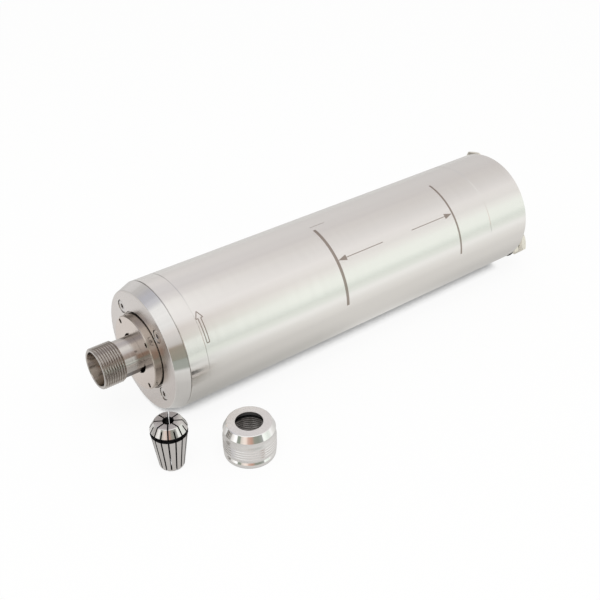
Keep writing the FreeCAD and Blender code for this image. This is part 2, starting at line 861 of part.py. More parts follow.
def make_fitting(name, angle):
    """Compression fitting for a water hose, about its own axis: washer, body with its stem, and nut."""
    corner = size.fitting_flats / 2 / cosine(30)
    nut_corner = size.fitting_nut_flats / 2 / cosine(30)
    body_start = size.washer_thickness
    body_end = body_start + size.fitting_body
    nut_start = body_end + size.fitting_groove
    nut_end = nut_start + size.fitting_nut_length
    barrel_end = nut_start + size.fitting_barrel_length
    hose_stop = nut_end - size.fitting_nut_lip - size.hose_depth
    mouth = size.hose_radius + size.hose_clearance

    washer = tube(f"{name}_washer", term(0), body_start, size.fitting_stem, size.washer_radius)

    fitting = new_body(f"{name}_fitting")
    prism(fitting, hexagon(fitting, body_start, (0, 0), corner, size.fitting_hex_turn), size.fitting_body)
    chamfer_hexagon(fitting, body_end, 1, size.fitting_flats)
    stem_end = -size.fitting_stem_length
    revolve(fitting, [
        (stem_end, 0),
        (stem_end, size.fitting_stem),
        (body_start, size.fitting_stem),
        (body_end, size.fitting_groove_radius),
        (nut_start, size.fitting_groove_radius),
        (nut_start, size.fitting_barrel),
        (barrel_end, size.fitting_barrel),
        (barrel_end, 0)])
    revolve(fitting, [
        (stem_end - size.overcut, 0),
        (stem_end - size.overcut, size.water_way),
        (hose_stop, size.water_way),
        (hose_stop, size.hose_radius),
        (barrel_end + size.overcut, size.hose_radius),
        (barrel_end + size.overcut, 0)], "Groove")

    nut = new_body(f"{name}_nut")
    prism(nut, hexagon(nut, nut_start, (0, 0), nut_corner, size.fitting_hex_turn), size.fitting_nut_length)
    chamfer_hexagon(nut, nut_start, -1, size.fitting_nut_flats)
    chamfer_hexagon(nut, nut_end, 1, size.fitting_nut_flats)
    revolve(nut, [
        (nut_start - size.overcut, 0),
        (nut_start - size.overcut, size.fitting_barrel),
        (nut_end - size.fitting_nut_lip, size.fitting_barrel),
        (nut_end - size.fitting_nut_lip, mouth),
        (nut_end + size.overcut, mouth),
        (nut_end + size.overcut, 0)], "Groove")

    across, up = on_circle(fitting_circle, angle)
    for piece in (washer, fitting, nut):
        place(piece, rear_face, across, up)


def make_collet():
    """Spring collet: tapered body, grip groove and cone, slit in turn from both ends."""
    body = new_body("collet")
    groove_top = size.collet_groove_low + size.collet_groove_width
    foot_radius = size.collet_radius - size.collet_groove_low * tangent(size.taper_half_angle)
    revolve(body, [
        (size.collet_relief, 0),
        (foot_radius - size.collet_foot_chamfer, 0),
        (foot_radius, size.collet_foot_chamfer),
        (size.collet_radius, size.collet_groove_low),
        (size.collet_radius - size.collet_groove_depth, size.collet_groove_low + size.collet_edge),
        (size.collet_radius - size.collet_groove_depth, groove_top - size.collet_edge),
        (size.collet_radius, groove_top),
        (size.collet_top_radius, size.collet_length),
        (size.collet_bore + size.collet_edge, size.collet_length),
        (size.collet_bore, size.collet_length - size.collet_edge),
        (size.collet_bore, size.collet_length - size.collet_bore_length),
        (size.collet_relief, size.collet_length - size.collet_bore_length)], axis="V_Axis")
    half = size.slit_width / 2
    reach = size.collet_radius + size.overcut
    for low, high, turn in (
            (size.slit_stop_low, size.collet_length + size.overcut, term(0)),
            (-size.overcut, size.collet_length - size.slit_stop_high, 180 / size.slit_count)):
        slot_turn = size.collet_turn + turn
        corners = []
        for along, aside in ((0, -half), (reach, -half), (reach, half), (0, half)):
            along, aside = term(along), term(aside)
            corners.append((along * cosine(slot_turn) - aside * sine(slot_turn),
                            along * sine(slot_turn) + aside * cosine(slot_turn)))
        sketch = outline_sketch(body, corners, "XY_Plane", low)
        slit = prism(body, sketch, high - low, cut=True)
        around(body, [slit], size.slit_count, "Z_Axis")
    return body


def make_clamping_nut():
    """Round balanced nut with a polished cone, a grooved band and the thread for the nose."""
    body = new_body("clamping_nut")
    seat_height = size.nut_height - size.nut_lip - size.ring_height
    corners = [
        (size.nut_thread_radius, 0),
        (size.nut_foot_radius, 0),
        (size.nut_radius, size.nut_band_low)]
    half_groove = size.nut_groove_depth
    first = size.nut_band_low + size.nut_groove_pitch
    for index in range(SIZES["nut_grooves"]):
        middle = first + size.nut_groove_pitch * index
        corners.append((size.nut_radius, middle - half_groove))
        corners.append((size.nut_radius - size.nut_groove_depth, middle))
        corners.append((size.nut_radius, middle + half_groove))
    corners += [
        (size.nut_radius, size.nut_band_high),
        (size.nut_waist_radius, size.nut_band_high + size.nut_waist_run),
        (size.nut_waist_radius, size.nut_cone_foot - size.nut_waist_run),
        (size.nut_shoulder_radius, size.nut_cone_foot),
        (size.nut_face_radius, size.nut_height),
        (size.nut_hole_radius, size.nut_height),
        (size.nut_hole_radius, size.nut_height - size.nut_lip),
        (size.ring_radius, size.nut_height - size.nut_lip),
        (size.ring_radius, seat_height),
        (size.nut_relief_radius, seat_height),
        (size.nut_relief_radius, size.nut_thread_length),
        (size.nut_thread_radius, size.nut_thread_length)]
    revolve(body, corners, axis="V_Axis")
    return body


def make_nut_ring():
    """Blackened ring in the nut that pushes the collet by its cone and pulls it out by its lip."""
    body = new_body("nut_ring")
    seat_height = size.nut_height - size.nut_lip - size.ring_height
    revolve(body, [
        (size.ring_cone_foot, seat_height + size.ring_lip_height),
        (size.ring_radius, seat_height + size.ring_lip_height),
        (size.ring_radius, seat_height + size.ring_height),
        (size.ring_top_radius, seat_height + size.ring_height)], axis="V_Axis")
    lip = circle_sketch(body, [(0, 0, size.ring_radius), (size.ring_shift, 0, size.ring_lip_radius)],
                        "XY_Plane", seat_height)
    prism(body, lip, size.ring_lip_height)
    return body


def build():
    """Builds every piece."""
    make_front_cover()
    make_socket_screws("front_cover_screws", cover_face + size.counterbore_depth, -1,
                       size.screw_circle_radius, recess_angle, "screw", size.screw_count)
    make_front_bearing_housing()
    make_outer_jacket()
    make_cooling_sleeve()
    make_jacket_seal("front_jacket_seal", front_seal_middle)
    make_jacket_seal("rear_jacket_seal", rear_seal_middle)
    make_stator_core()
    make_stator_windings()
    for name, start in (("front_bearing_1", bearing_1), ("front_bearing_2", bearing_2)):
        make_bearing(name, start, size.front_bearing_width, size.front_seat_radius,
                     size.front_bearing_outer, size.front_pitch, size.front_ball,
                     size.front_shoulder_step, size.front_ball_count)
    for name, start in (("rear_bearing_1", rear_bearing_1), ("rear_bearing_2", rear_bearing_2)):
        make_bearing(name, start, size.rear_bearing_width, size.rear_seat_radius,
                     size.rear_bearing_outer, size.rear_pitch, size.rear_ball,
                     size.rear_shoulder_step, size.rear_ball_count)
    tube("inner_spacer", bearing_1_end, bearing_2, size.front_seat_radius,
         size.front_pitch - size.front_shoulder_step)
    tube("outer_spacer", bearing_1_end, bearing_2, size.front_pitch + size.front_shoulder_step,
         size.front_bearing_outer)
    make_shaft()
    make_slinger_disc()
    make_rotor_core()
    make_rotor_cage()
    make_balance_ring("balance_ring_front", stator_start - size.end_ring, -1)
    make_balance_ring("balance_ring_rear", stator_end + size.end_ring, 1)
    tube("rear_lock_nut", rear_bearing_end, shaft_end, size.shaft_end_radius, size.lock_nut_radius)
    make_rear_housing()
    make_rear_bearing_sleeve()
    make_preload_spring()
    make_terminal_plate()
    make_socket_screws("terminal_plate_screws", rear_face - size.plate_screw_head_height, 1,
                       size.plate_screw_circle, size.lie_angle, "plate_screw", size.plate_screw_count)
    make_socket()
    make_fitting("inlet", inlet_angle)
    make_fitting("outlet", outlet_angle)
    place(make_collet(), joint + size.collet_from_joint, -size.collet_aside, ground)
    for piece in (make_clamping_nut(), make_nut_ring()):
        place(piece, joint + size.nut_from_joint, -size.nut_aside, ground)


def check():
    """Stops on any object that failed and on any piece whose shape is missing or invalid."""
    faults = [item.Name for item in doc.Objects if {"Invalid", "Error"} & set(item.State)]
    pieces = [item for item in doc.Objects if item.TypeId == "PartDesign::Body"]
    faults += [piece.Label for piece in pieces if piece.Shape.isNull() or not piece.Shape.isValid()]
    if faults:
        raise RuntimeError(f"failed: {faults}")
    return pieces


build()
doc.recompute()
os.makedirs("parts", exist_ok=True)
for piece in check():
    piece.Shape.exportStep(os.path.join("parts", f"{piece.Label}.step"))
    print(piece.Label, len(piece.Shape.Solids), round(piece.Shape.Volume, 1))
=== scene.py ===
"""Studio scene of a water-cooled motor spindle with its spring collet and clamping nut beside it.

Shapes are worked out in millimetres, in the part's own frame: X runs along the spindle from the nose to the
rear end, Z is up, and the ground lies one housing radius below the axis. They become metres when a mesh is
made. An angle round the spindle is counted from -Y towards +Z, and one round an upright piece from +X
towards +Y.
"""
import json
import logging
import math
from dataclasses import dataclass
from enum import Enum
from typing import ClassVar, Optional, Sequence, Union

import bmesh
import bpy
import numpy as np
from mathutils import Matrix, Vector


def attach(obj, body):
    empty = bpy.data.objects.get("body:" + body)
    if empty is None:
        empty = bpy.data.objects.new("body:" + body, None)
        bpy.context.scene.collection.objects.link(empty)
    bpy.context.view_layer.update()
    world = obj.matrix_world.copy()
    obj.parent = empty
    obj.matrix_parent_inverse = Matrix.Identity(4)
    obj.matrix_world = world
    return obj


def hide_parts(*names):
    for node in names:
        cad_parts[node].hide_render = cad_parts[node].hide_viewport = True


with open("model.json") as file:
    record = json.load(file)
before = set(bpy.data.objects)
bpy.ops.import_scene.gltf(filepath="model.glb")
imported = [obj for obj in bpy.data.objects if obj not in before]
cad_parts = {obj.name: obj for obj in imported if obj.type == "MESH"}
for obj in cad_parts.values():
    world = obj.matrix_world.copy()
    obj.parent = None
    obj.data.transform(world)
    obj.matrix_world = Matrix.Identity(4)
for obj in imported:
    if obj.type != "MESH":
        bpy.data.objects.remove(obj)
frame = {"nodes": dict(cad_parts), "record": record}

LOG = logging.getLogger("motor_spindle")
MM = 0.001
TURN = 2 * math.pi
Number = Union[float, np.ndarray]
Row = tuple[Number, Number]
Pair = tuple[float, float]
Triple = tuple[float, float, float]
Steps = tuple[Pair, ...]
Stops = tuple[tuple[float, str], ...]

HOUSING_RADIUS = 40.0
GROUND = -HOUSING_RADIUS
# Where the cover meets the front band, and where the housing ends
JOINT = -165.0
REAR_FACE = JOINT + 280.3
# Angle of the cover's first screw, in degrees
HOLE_TURN = 46.5
# A face whose direction has at least this share along an axis counts as square to it
SQUARE = 0.9


class Axis(Enum):
    """The direction that a round piece is turned about."""

    ALONG = "along the spindle"
    UPRIGHT = "upright"


@dataclass(frozen=True)
class Lathe:
    """An axis that pieces are turned about.

    Args:
        axis: the direction of the axis.
        centre: a point that stations are counted from, in millimetres.
    """

    axis: Axis = Axis.ALONG
    centre: Triple = (0.0, 0.0, 0.0)

    def points(self, station: Number, radius: Number, angle: Number) -> np.ndarray:
        """Places points by station, radius and angle.

        Along the spindle a point lies at (station, -radius cos angle, radius sin angle), and upright at
        (radius cos angle, radius sin angle, station), both counted from the centre.

        Args:
            station: distance along the axis.
            radius: distance from the axis.
            angle: angle round the axis, in radians.

        Returns:
            An array of the three's common shape with x, y and z as its last axis.
        """
        station, radius, angle = np.broadcast_arrays(station, radius, angle)
        if self.axis is Axis.ALONG:
            parts = (station, -radius * np.cos(angle), radius * np.sin(angle))
        else:
            parts = (radius * np.cos(angle), radius * np.sin(angle), station)
        return np.stack(parts, axis=-1) + np.array(self.centre)

    def turn(self, rows: Sequence[Row], angles: np.ndarray) -> np.ndarray:
        """Grid of a profile turned about the axis, one row for each (station, radius) pair.

        Args:
            rows: pairs of numbers, or of arrays with one value for each angle.
            angles: the columns' angles, in radians.

        Returns:
            An array of rows, columns and x, y, z.
        """
        return np.stack([self.points(station, radius, angles) for station, radius in rows])


SPINDLE = Lathe()


def beside(station: float, circle: float, degrees: float) -> Lathe:
    """An axis along the spindle, through a place on a circle round it at an angle in degrees."""
    turn = math.radians(degrees)
    return Lathe(Axis.ALONG, (station, -circle * math.cos(turn), circle * math.sin(turn)))


def angles_round(count: int, start: float = 0.0) -> np.ndarray:
    """Evenly spaced angles of one full turn, the last one short of the first."""
    return start + np.linspace(0, TURN, count, endpoint=False)


class Shell:
    """Collects patches of a surface and welds them into one closed mesh."""

    WELD = 0.0005

    def __init__(self) -> None:
        """Starts with no patch."""
        self.points: list[np.ndarray] = []
        self.faces: list[list[int]] = []
        self.count = 0

    def patch(self, grid: np.ndarray, around: bool = False, closed: bool = False) -> None:
        """Adds a grid of points as quads.

        Args:
            grid: rows, columns and x, y, z, in millimetres.
            around: joins the last column to the first.
            closed: joins the last row to the first.
        """
        rows, columns = grid.shape[:2]
        index = np.arange(rows * columns).reshape(rows, columns) + self.count
        if around:
            index = np.concatenate([index, index[:, :1]], axis=1)
        if closed:
            index = np.concatenate([index, index[:1]], axis=0)
        quads = np.stack([index[:-1, :-1], index[1:, :-1], index[1:, 1:], index[:-1, 1:]], axis=-1)
        self.points.append(grid.reshape(-1, 3))
        self.faces.extend(quads.reshape(-1, 4).tolist())
        self.count += rows * columns

    def polygon(self, ring: np.ndarray) -> None:
        """Adds one flat polygon.

        Args:
            ring: its corners in order, in millimetres.
        """
        self.points.append(ring)
        self.faces.append(list(range(self.count, self.count + len(ring))))
        self.count += len(ring)

    def make(self, name: str, sharp: float = 27.0) -> bpy.types.Object:
        """Welds the patches and makes the object.

        Points nearer than the weld distance become one, so poles and seams close. The faces are turned
        outwards, shaded smooth, and edges above the sharp angle stay sharp.

        Args:
            name: the piece's name.
            sharp: the least angle of a sharp edge, in degrees.

        Returns:
            The new object, at the origin.
        """
        mesh = bpy.data.meshes.new(name)
        mesh.from_pydata((np.concatenate(self.points) * MM).tolist(), [], self.faces)
        work = bmesh.new()
        work.from_mesh(mesh)
        bmesh.ops.remove_doubles(work, verts=work.verts, dist=self.WELD * MM)
        bmesh.ops.recalc_face_normals(work, faces=work.faces)
        open_edges = sum(1 for edge in work.edges if len(edge.link_faces) != 2)
        work.to_mesh(mesh)
        work.free()
        mesh.polygons.foreach_set("use_smooth", np.ones(len(mesh.polygons), bool))
        mesh.set_sharp_from_angle(angle=math.radians(sharp))
        piece = bpy.data.objects.new(name, mesh)
        bpy.context.scene.collection.objects.link(piece)
        LOG.info("%s: %d faces, %d open edges", name, len(mesh.polygons), open_edges)
        return piece


@dataclass(frozen=True)
class Holes:
    """Holes drilled evenly round a flat ring face, each turned from steps about its own axis.

    Args:
        count: how many holes.
        circle: radius of the circle that they lie on.
        first: angle of the first, in degrees.
        steps: (depth, radius) pairs from the mouth to the floor.
        half_window: half of the angle that the patch round a hole takes, in degrees.
        window_steps: columns across the patch round a hole.
        gap_steps: columns across the gap between two patches.
        ring_steps: rows across the face.
    """

    count: int
    circle: float
    first: float
    steps: Steps
    half_window: float
    window_steps: int = 20
    gap_steps: int = 28
    ring_steps: int = 8

    def spans(self) -> list[tuple[float, np.ndarray, np.ndarray]]:
        """Splits the turn into holes and gaps.

        Returns:
            For each hole its middle, and the angles across its patch and across the gap after it.
        """
        half = math.radians(self.half_window)
        share = TURN / self.count
        holes = math.radians(self.first) + share * np.arange(self.count)
        return [(middle, middle + np.linspace(-half, half, self.window_steps + 1),
                 middle + np.linspace(half, share - half, self.gap_steps + 1)) for middle in holes]

    def columns(self) -> np.ndarray:
        """Every column of the piece, so that its other faces meet the drilled one."""
        return np.concatenate([np.concatenate([window[:-1], gap[:-1]]) for _, window, gap in self.spans()])

    def drill(self, shell: Shell, lathe: Lathe, station: float, inner: float, outer: float,
              inward: int) -> None:
        """Adds the ring face with its holes.

        Between the holes the face is a plain grid. Round a hole, each point of the window's edge is joined
        to the hole's edge along the ray from the hole's middle, and the hole's wall follows the same rays.

        Args:
            shell: takes the patches.
            lathe: the piece's axis.
            station: where the face lies.
            inner: the face's inner radius.
            outer: its outer radius.
            inward: 1 if the holes go towards higher stations, else -1.
        """
        radii = np.linspace(inner, outer, self.ring_steps + 1)
        for middle, window, gap in self.spans():
            shell.patch(lathe.points(station, radii[:, None], gap[None, :]))
            edge_radius = np.concatenate([
                np.full(self.window_steps, inner), radii[:-1],
                np.full(self.window_steps, outer), radii[:0:-1]])
            edge_angle = np.concatenate([
                window[:-1], np.full(self.ring_steps, window[-1]),
                window[:0:-1], np.full(self.ring_steps, window[0])]) - middle
            away = edge_radius * np.cos(edge_angle) - self.circle
            aside = edge_radius * np.sin(edge_angle)
            reach = np.hypot(away, aside)
            rows = [(station + inward * depth, radius / reach) for depth, radius in reversed(self.steps)]
            blend = np.linspace(0, 1, self.ring_steps)[1:]
            mouth = self.steps[0][1] / reach
            rows += [(station, mouth + (1 - mouth) * part) for part in blend]
            grid = []
            for level, scale in rows:
                across, along = self.circle + away * scale, aside * scale
                grid.append(lathe.points(level, np.hypot(across, along), middle + np.arctan2(along, across)))
            shell.patch(np.stack(grid), around=True)


@dataclass(frozen=True)
class Thread:
    """A V thread with flat crests and roots.

    Args:
        major: radius of the crests.
        minor: radius of the roots.
        pitch: distance from crest to crest.
        hand: 1 where the crests' stations fall as the angle grows, else -1.
        crest_share: share of the pitch that the crest's flat takes.
        root_share: the same of the root's.
    """

    major: float
    minor: float
    pitch: float
    hand: int
    crest_share: float = 0.125
    root_share: float = 0.25

    def radius(self, station: Number, angle: Number) -> np.ndarray:
        """Radius of the thread at a place.

        The place's share of a pitch is its station over the pitch plus or minus its share of a turn. Its
        distance from the middle of the root, scaled so that the root's and the crest's flats are cut off,
        goes straight up from 0 to 1 between minor and major radius.

        Args:
            station: distance along the axis.
            angle: angle round it, in radians.

        Returns:
            The radius, in the two's common shape.
        """
        share = np.mod(station / self.pitch + self.hand * angle / TURN, 1.0)
        rise = (np.abs(2 * share - 1) - self.root_share) / (1 - self.root_share - self.crest_share)
        return self.minor + (self.major - self.minor) * np.clip(rise, 0, 1)


@dataclass(frozen=True)
class Hexagon:
    """A hexagon bar's outline about an axis.

    Args:
        flats: distance across flats.
        turn: angle of a corner, in degrees.
        chamfer: how far inside the flats the turned chamfer of an end starts.
        chamfer_angle: the chamfer's angle, in degrees.
        side_steps: columns on each side.
    """

    flats: float
    turn: float
    chamfer: float = 0.3
    chamfer_angle: float = 30.0
    side_steps: int = 12

    def columns(self) -> np.ndarray:
        """Angles of the columns, with one at each corner."""
        return angles_round(6 * self.side_steps, math.radians(self.turn))

    def radius(self, angle: np.ndarray) -> np.ndarray:
        """Distance of the outline: half the flats over the cosine of the angle from the flat's middle."""
        from_flat = np.mod(angle - math.radians(self.turn), TURN / 6) - TURN / 12
        return self.flats / 2 / np.cos(from_flat)

    def end_rows(self, end: float, inward: int, steps: int = 5) -> list[Row]:
        """Rows of the turned chamfer, whose depth is its width times the tangent of its angle.

        Args:
            end: station of the end face.
            inward: 1 if the bar runs towards higher stations from it, else -1.
            steps: how many rows.

        Returns:
            The rows from the end face to the flats.
        """
        outline = self.radius(self.columns())
        start = self.flats / 2 - self.chamfer
        width = outline - start
        drop = width * math.tan(math.radians(self.chamfer_angle))
        return [(end + inward * drop * part, start + width * part) for part in np.linspace(0, 1, steps)]


def grown(colour: str) -> tuple[float, ...]:
    """Turns an sRGB colour to linear, by the standard's straight part and power.

    Args:
        colour: six hex digits.

    Returns:
        Linear red, green and blue, and 1.
    """
    parts = [int(colour[i:i + 2], 16) / 255 for i in (0, 2, 4)]
    linear = [part / 12.92 if part <= 0.04045 else ((part + 0.055) / 1.055) ** 2.4 for part in parts]
    return (*linear, 1.0)


Socket = bpy.types.NodeSocket
COLOURS = {"data_type": "RGBA"}
SMOOTH = {"interpolation_type": "SMOOTHSTEP"}
TIMES = {"operation": "MULTIPLY"}
LARGER = {"operation": "MAXIMUM"}


def node(tree: bpy.types.NodeTree, kind: str, settings: Optional[dict] = None,
         inputs: Optional[dict] = None, stops: Stops = ()) -> bpy.types.Node:
    """Adds a node with its settings, values and links.

    Args:
        tree: the node tree.
        kind: the node's type without the ShaderNode prefix.
        settings: properties of the node.
        inputs: values or output sockets by the name or number of the input.
        stops: (position, sRGB hex) stops of a colour ramp, in rising order.

    Returns:
        The new node.
    """
    made = tree.nodes.new(f"ShaderNode{kind}")
    for name, value in (settings or {}).items():
        setattr(made, name, value)
    for name, value in (inputs or {}).items():
        if isinstance(value, Socket):
            tree.links.new(value, made.inputs[name])
        else:
            made.inputs[name].default_value = value
    if stops:
        elements = made.color_ramp.elements
        for element, (position, colour) in zip(elements, (stops[0], stops[-1])):
            element.position, element.color = position, grown(colour)
        for position, colour in stops[1:-1]:
            elements.new(position).color = grown(colour)
    return made


class Grain(Enum):
    """How a surface was made, which decides its fine pattern."""

    TURNED_ALONG = "turned about the spindle's axis"
    TURNED_UPRIGHT = "turned about an upright axis"
    STACKED = "stacked sheets"
    CAST = "cast or moulded"


@dataclass(frozen=True)
class Finish:
    """A material and how its surface was made.

    Args:
        name: what the maker calls it.
        colour: sRGB hex.
        metallic: 1 for bare metal, 0 for the rest.
        roughness: the middle of its roughness.
        grain: how the surface was made.
        grain_mm: distance between its marks, drawn as coarse as the picture can show.
        tone: share by which the colour varies.
        rough_spread: how far the roughness varies.
        relief_mm: depth of the marks.
        stretch: anisotropy along the marks.
        centre: the turning axis of an upright piece, in millimetres.
    """

    name: str
    colour: str
    metallic: float = 1.0
    roughness: float = 0.25
    grain: Grain = Grain.TURNED_ALONG
    grain_mm: float = 1.0
    tone: float = 0.03
    rough_spread: float = 0.04
    relief_mm: float = 0.0
    stretch: float = 0.0
    centre: Triple = (0.0, 0.0, 0.0)
    # Share of the place that a turned pattern drifts by, so that its rings aren't quite even
    DRIFT: ClassVar[float] = 0.02

    def pattern(self, tree: bpy.types.NodeTree) -> bpy.types.NodeSocket:
        """Adds the nodes of the surface's fine pattern.

        On turned metal, noise is read at (station, radius, a small share of the place), so that it makes
        rings round the axis. On stacked sheets it is read along the axis alone.

        Args:
            tree: the material's nodes.

        Returns:
            The pattern's value, from 0 to 1.
        """
        spot = node(tree, "TexCoord").outputs["Object"]
        spot = node(tree, "Mapping", {"vector_type": "POINT"},
                    {"Vector": spot, "Location": [-value * MM for value in self.centre]}).outputs["Vector"]
        if self.grain is not Grain.CAST:
            parts = node(tree, "SeparateXYZ", inputs={0: spot}).outputs
            along, across, up = ((parts[2], parts[0], parts[1]) if self.grain is Grain.TURNED_UPRIGHT
                                 else (parts[0], parts[1], parts[2]))
            flat = node(tree, "CombineXYZ", inputs={0: across, 1: up}).outputs[0]
            radius = node(tree, "VectorMath", {"operation": "LENGTH"}, {0: flat}).outputs["Value"]
            slow = node(tree, "Math", TIMES, {0: across, 1: self.DRIFT}).outputs[0]
            spread = radius if self.grain is not Grain.STACKED else 0.0
            spot = node(tree, "CombineXYZ", inputs={0: along, 1: spread, 2: slow}).outputs[0]
        noise = node(tree, "TexNoise", inputs={
            "Vector": spot, "Scale": 1 / (self.grain_mm * MM), "Detail": 3.0, "Roughness": 0.6})
        return noise.outputs["Fac"]

    def make(self) -> bpy.types.Material:
        """Makes the material, or finds it where it was made before.

        Returns:
            The material.
        """
        if self.name in bpy.data.materials:
            return bpy.data.materials[self.name]
        material = bpy.data.materials.new(self.name)
        material.use_nodes = True
        tree = material.node_tree
        shader = tree.nodes["Principled BSDF"]
        shader.inputs["Metallic"].default_value = self.metallic
        base = grown(self.colour)
        dark = tuple(part * (1 - self.tone) for part in base[:3]) + (1.0,)
        bright = tuple(min(1.0, part * (1 + self.tone)) for part in base[:3]) + (1.0,)
        value = self.pattern(tree)
        colour = node(tree, "Mix", COLOURS, {0: value, 6: dark, 7: bright}).outputs[2]
        tree.links.new(colour, shader.inputs["Base Color"])
        rough = node(tree, "MapRange", inputs={
            "Value": value, "From Min": 0.25, "From Max": 0.75,
            "To Min": self.roughness - self.rough_spread, "To Max": self.roughness + self.rough_spread})
        tree.links.new(rough.outputs["Result"], shader.inputs["Roughness"])
        if self.relief_mm:
            bump = node(tree, "Bump", inputs={
                "Strength": 1.0, "Distance": self.relief_mm * MM, "Height": value})
            tree.links.new(bump.outputs["Normal"], shader.inputs["Normal"])
        if self.stretch:
            shader.inputs["Anisotropic"].default_value = self.stretch
            direction = "Z" if self.grain is Grain.TURNED_UPRIGHT else "X"
            tangent = node(tree, "Tangent", {"direction_type": "RADIAL", "axis": direction})
            tree.links.new(tangent.outputs["Tangent"], shader.inputs["Tangent"])
            # The marks run round the axis, so light spreads across them: a quarter turn from the tangent
            shader.inputs["Anisotropic Rotation"].default_value = 0.25
        return material


NUT_CENTRE = (JOINT + 15.8, -72.5, GROUND)
COLLET_CENTRE = (JOINT - 24.4, -53.6, GROUND)


class Stock:
    """Every finish of the part, named for its real metal or plastic."""

    # Turned stainless steel, brushed round the axis: bands of light run along the body, blurred lengthways
    STAINLESS = Finish("stainless_brushed_round", "EAE8E4", roughness=0.2, grain_mm=1.4, tone=0.02,
                       rough_spread=0.03, relief_mm=0.0008, stretch=0.8)
    # The cover's cone, turned finer than the body, so its reflections are crisper
    CONE = Finish("stainless_fine_turned", "E6E4E1", roughness=0.12, grain_mm=1.0, tone=0.03,
                  rough_spread=0.02, relief_mm=0.0008, stretch=0.7)
    # Hardened bearing steel, ground: tighter and darker reflections than the body's
    GROUND_STEEL = Finish("tool_steel_ground", "C6C1BC", roughness=0.14, grain_mm=1.2, tone=0.04,
                          rough_spread=0.04, relief_mm=0.001, stretch=0.6)
    # The lapped taper that takes the collet: smooth, so it shows clear stripes of light
    LAPPED = Finish("tool_steel_lapped", "C4BDB6", roughness=0.12, grain_mm=2.0, tone=0.03,
                    rough_spread=0.02)
    # The nose thread, cut into the same steel and darker for its fine marks
    THREADED = Finish("tool_steel_threaded", "B9B3AD", roughness=0.15, grain_mm=1.0, tone=0.05)
    # The same steel left straw-coloured by tempering, on the disc
    TEMPERED = Finish("tool_steel_tempered", "C6BCB2", roughness=0.18, grain_mm=1.2, tone=0.06,
                      rough_spread=0.03, relief_mm=0.001, stretch=0.6)
    # Lathe-turned end faces, less bright than the outside
    FACE_STEEL = Finish("stainless_faced", "DED8D4", roughness=0.3, grain_mm=0.8, tone=0.05,
                        rough_spread=0.05, relief_mm=0.001, stretch=0.4)
    # Chromium steel of the nut, polished to a mirror
    POLISHED = Finish("nut_steel_polished", "F1F0EE", roughness=0.06, grain=Grain.TURNED_UPRIGHT,
                      grain_mm=0.6, tone=0.02, rough_spread=0.02, stretch=0.3, centre=NUT_CENTRE)
    # The nut's band and face, turned and left satin
    SATIN = Finish("nut_steel_satin", "EDEBE9", roughness=0.24, grain=Grain.TURNED_UPRIGHT, grain_mm=1.4,
                   tone=0.02, rough_spread=0.04, relief_mm=0.0002, stretch=0.6, centre=NUT_CENTRE)
    # The nut's thread and seat, cut and not polished, and painted darker as the shade inside the nut
    NUT_INSIDE_SHADE = Finish("nut_steel_inside_painted_shade", "96928F", roughness=0.3, grain=Grain.TURNED_UPRIGHT,
                        grain_mm=0.8, tone=0.06, centre=NUT_CENTRE)
    # The disc's turned face, as straw-coloured as its rim
    DISC_FACE = Finish("tool_steel_faced", "DCD1C9", roughness=0.24, grain_mm=1.0, tone=0.05,
                       rough_spread=0.04, relief_mm=0.001, stretch=0.4)
    # Milled flats, painted dark brown: painted shade and painted dark reflection, not a colour of the steel
    SHADED_FLATS = Finish("tool_steel_flats_painted_shade", "40322A", roughness=0.32, grain=Grain.CAST, grain_mm=1.0,
                     tone=0.2)
    # Spring steel of the collet, ground outside
    COLLET = Finish("spring_steel_ground", "DCD9D6", roughness=0.16, grain=Grain.TURNED_UPRIGHT,
                    grain_mm=0.7, tone=0.05, rough_spread=0.04, relief_mm=0.001, stretch=0.5,
                    centre=COLLET_CENTRE)
    # The collet's slits, groove and bore, which keep the black oxide of hardening
    OXIDE = Finish("spring_steel_oxide", "161617", metallic=0.4, roughness=0.5, grain=Grain.CAST,
                   grain_mm=0.8, tone=0.3)
    # Steel blackened in hot salts: near black with a soft sheen
    BLACKENED = Finish("steel_blackened", "2A2A2B", metallic=0.7, roughness=0.34,
                       grain=Grain.TURNED_UPRIGHT, grain_mm=0.5, tone=0.2, centre=NUT_CENTRE)
    # Cold-formed stainless screws, tumbled bright
    SCREW = Finish("screw_steel", "DAD6D3", roughness=0.26, grain=Grain.CAST, grain_mm=1.2, tone=0.05)
    # Nickel plating on brass, with the yellow of the brass behind it
    NICKEL = Finish("nickel_on_brass", "ECE8DC", roughness=0.3, grain=Grain.CAST, grain_mm=2.0, tone=0.04)
    # Nitrile rubber of the washers and rings
    RUBBER = Finish("nitrile_rubber", "1B1B1B", metallic=0.0, roughness=0.6, grain=Grain.CAST, grain_mm=0.6,
                    tone=0.15, relief_mm=0.01)
    # Glass-filled plastic of the socket's insert
    PLASTIC = Finish("glass_filled_plastic", "232325", metallic=0.0, roughness=0.45, grain=Grain.CAST,
                     grain_mm=0.4, tone=0.12, relief_mm=0.01)
    # Hard gold on the contact pins
    GOLD = Finish("hard_gold", "E8C774", roughness=0.15, grain=Grain.CAST, grain_mm=1.0)
    # Steel annealed brown by the marking laser
    MARK = Finish("laser_annealed_steel", "A0968E", roughness=0.3, grain_mm=0.5, tone=0.15, stretch=0.6)
    # Superfinished bearing steel
    BEARING = Finish("bearing_steel", "E2E3E6", roughness=0.08, grain_mm=0.5)
    # Machined brass cages
    BRASS = Finish("brass_machined", "D9B566", roughness=0.25, grain_mm=0.6)
    # Plain turned steel of the inner rings, sleeves and springs
    TURNED = Finish("steel_turned", "BDBCBB", roughness=0.3, grain_mm=0.5, tone=0.06, relief_mm=0.002,
                    stretch=0.4)
    # Turned aluminium of the cooling sleeve
    SLEEVE = Finish("aluminium_turned", "DCDDDE", roughness=0.32, grain_mm=0.7, tone=0.05, relief_mm=0.002,
                    stretch=0.4)
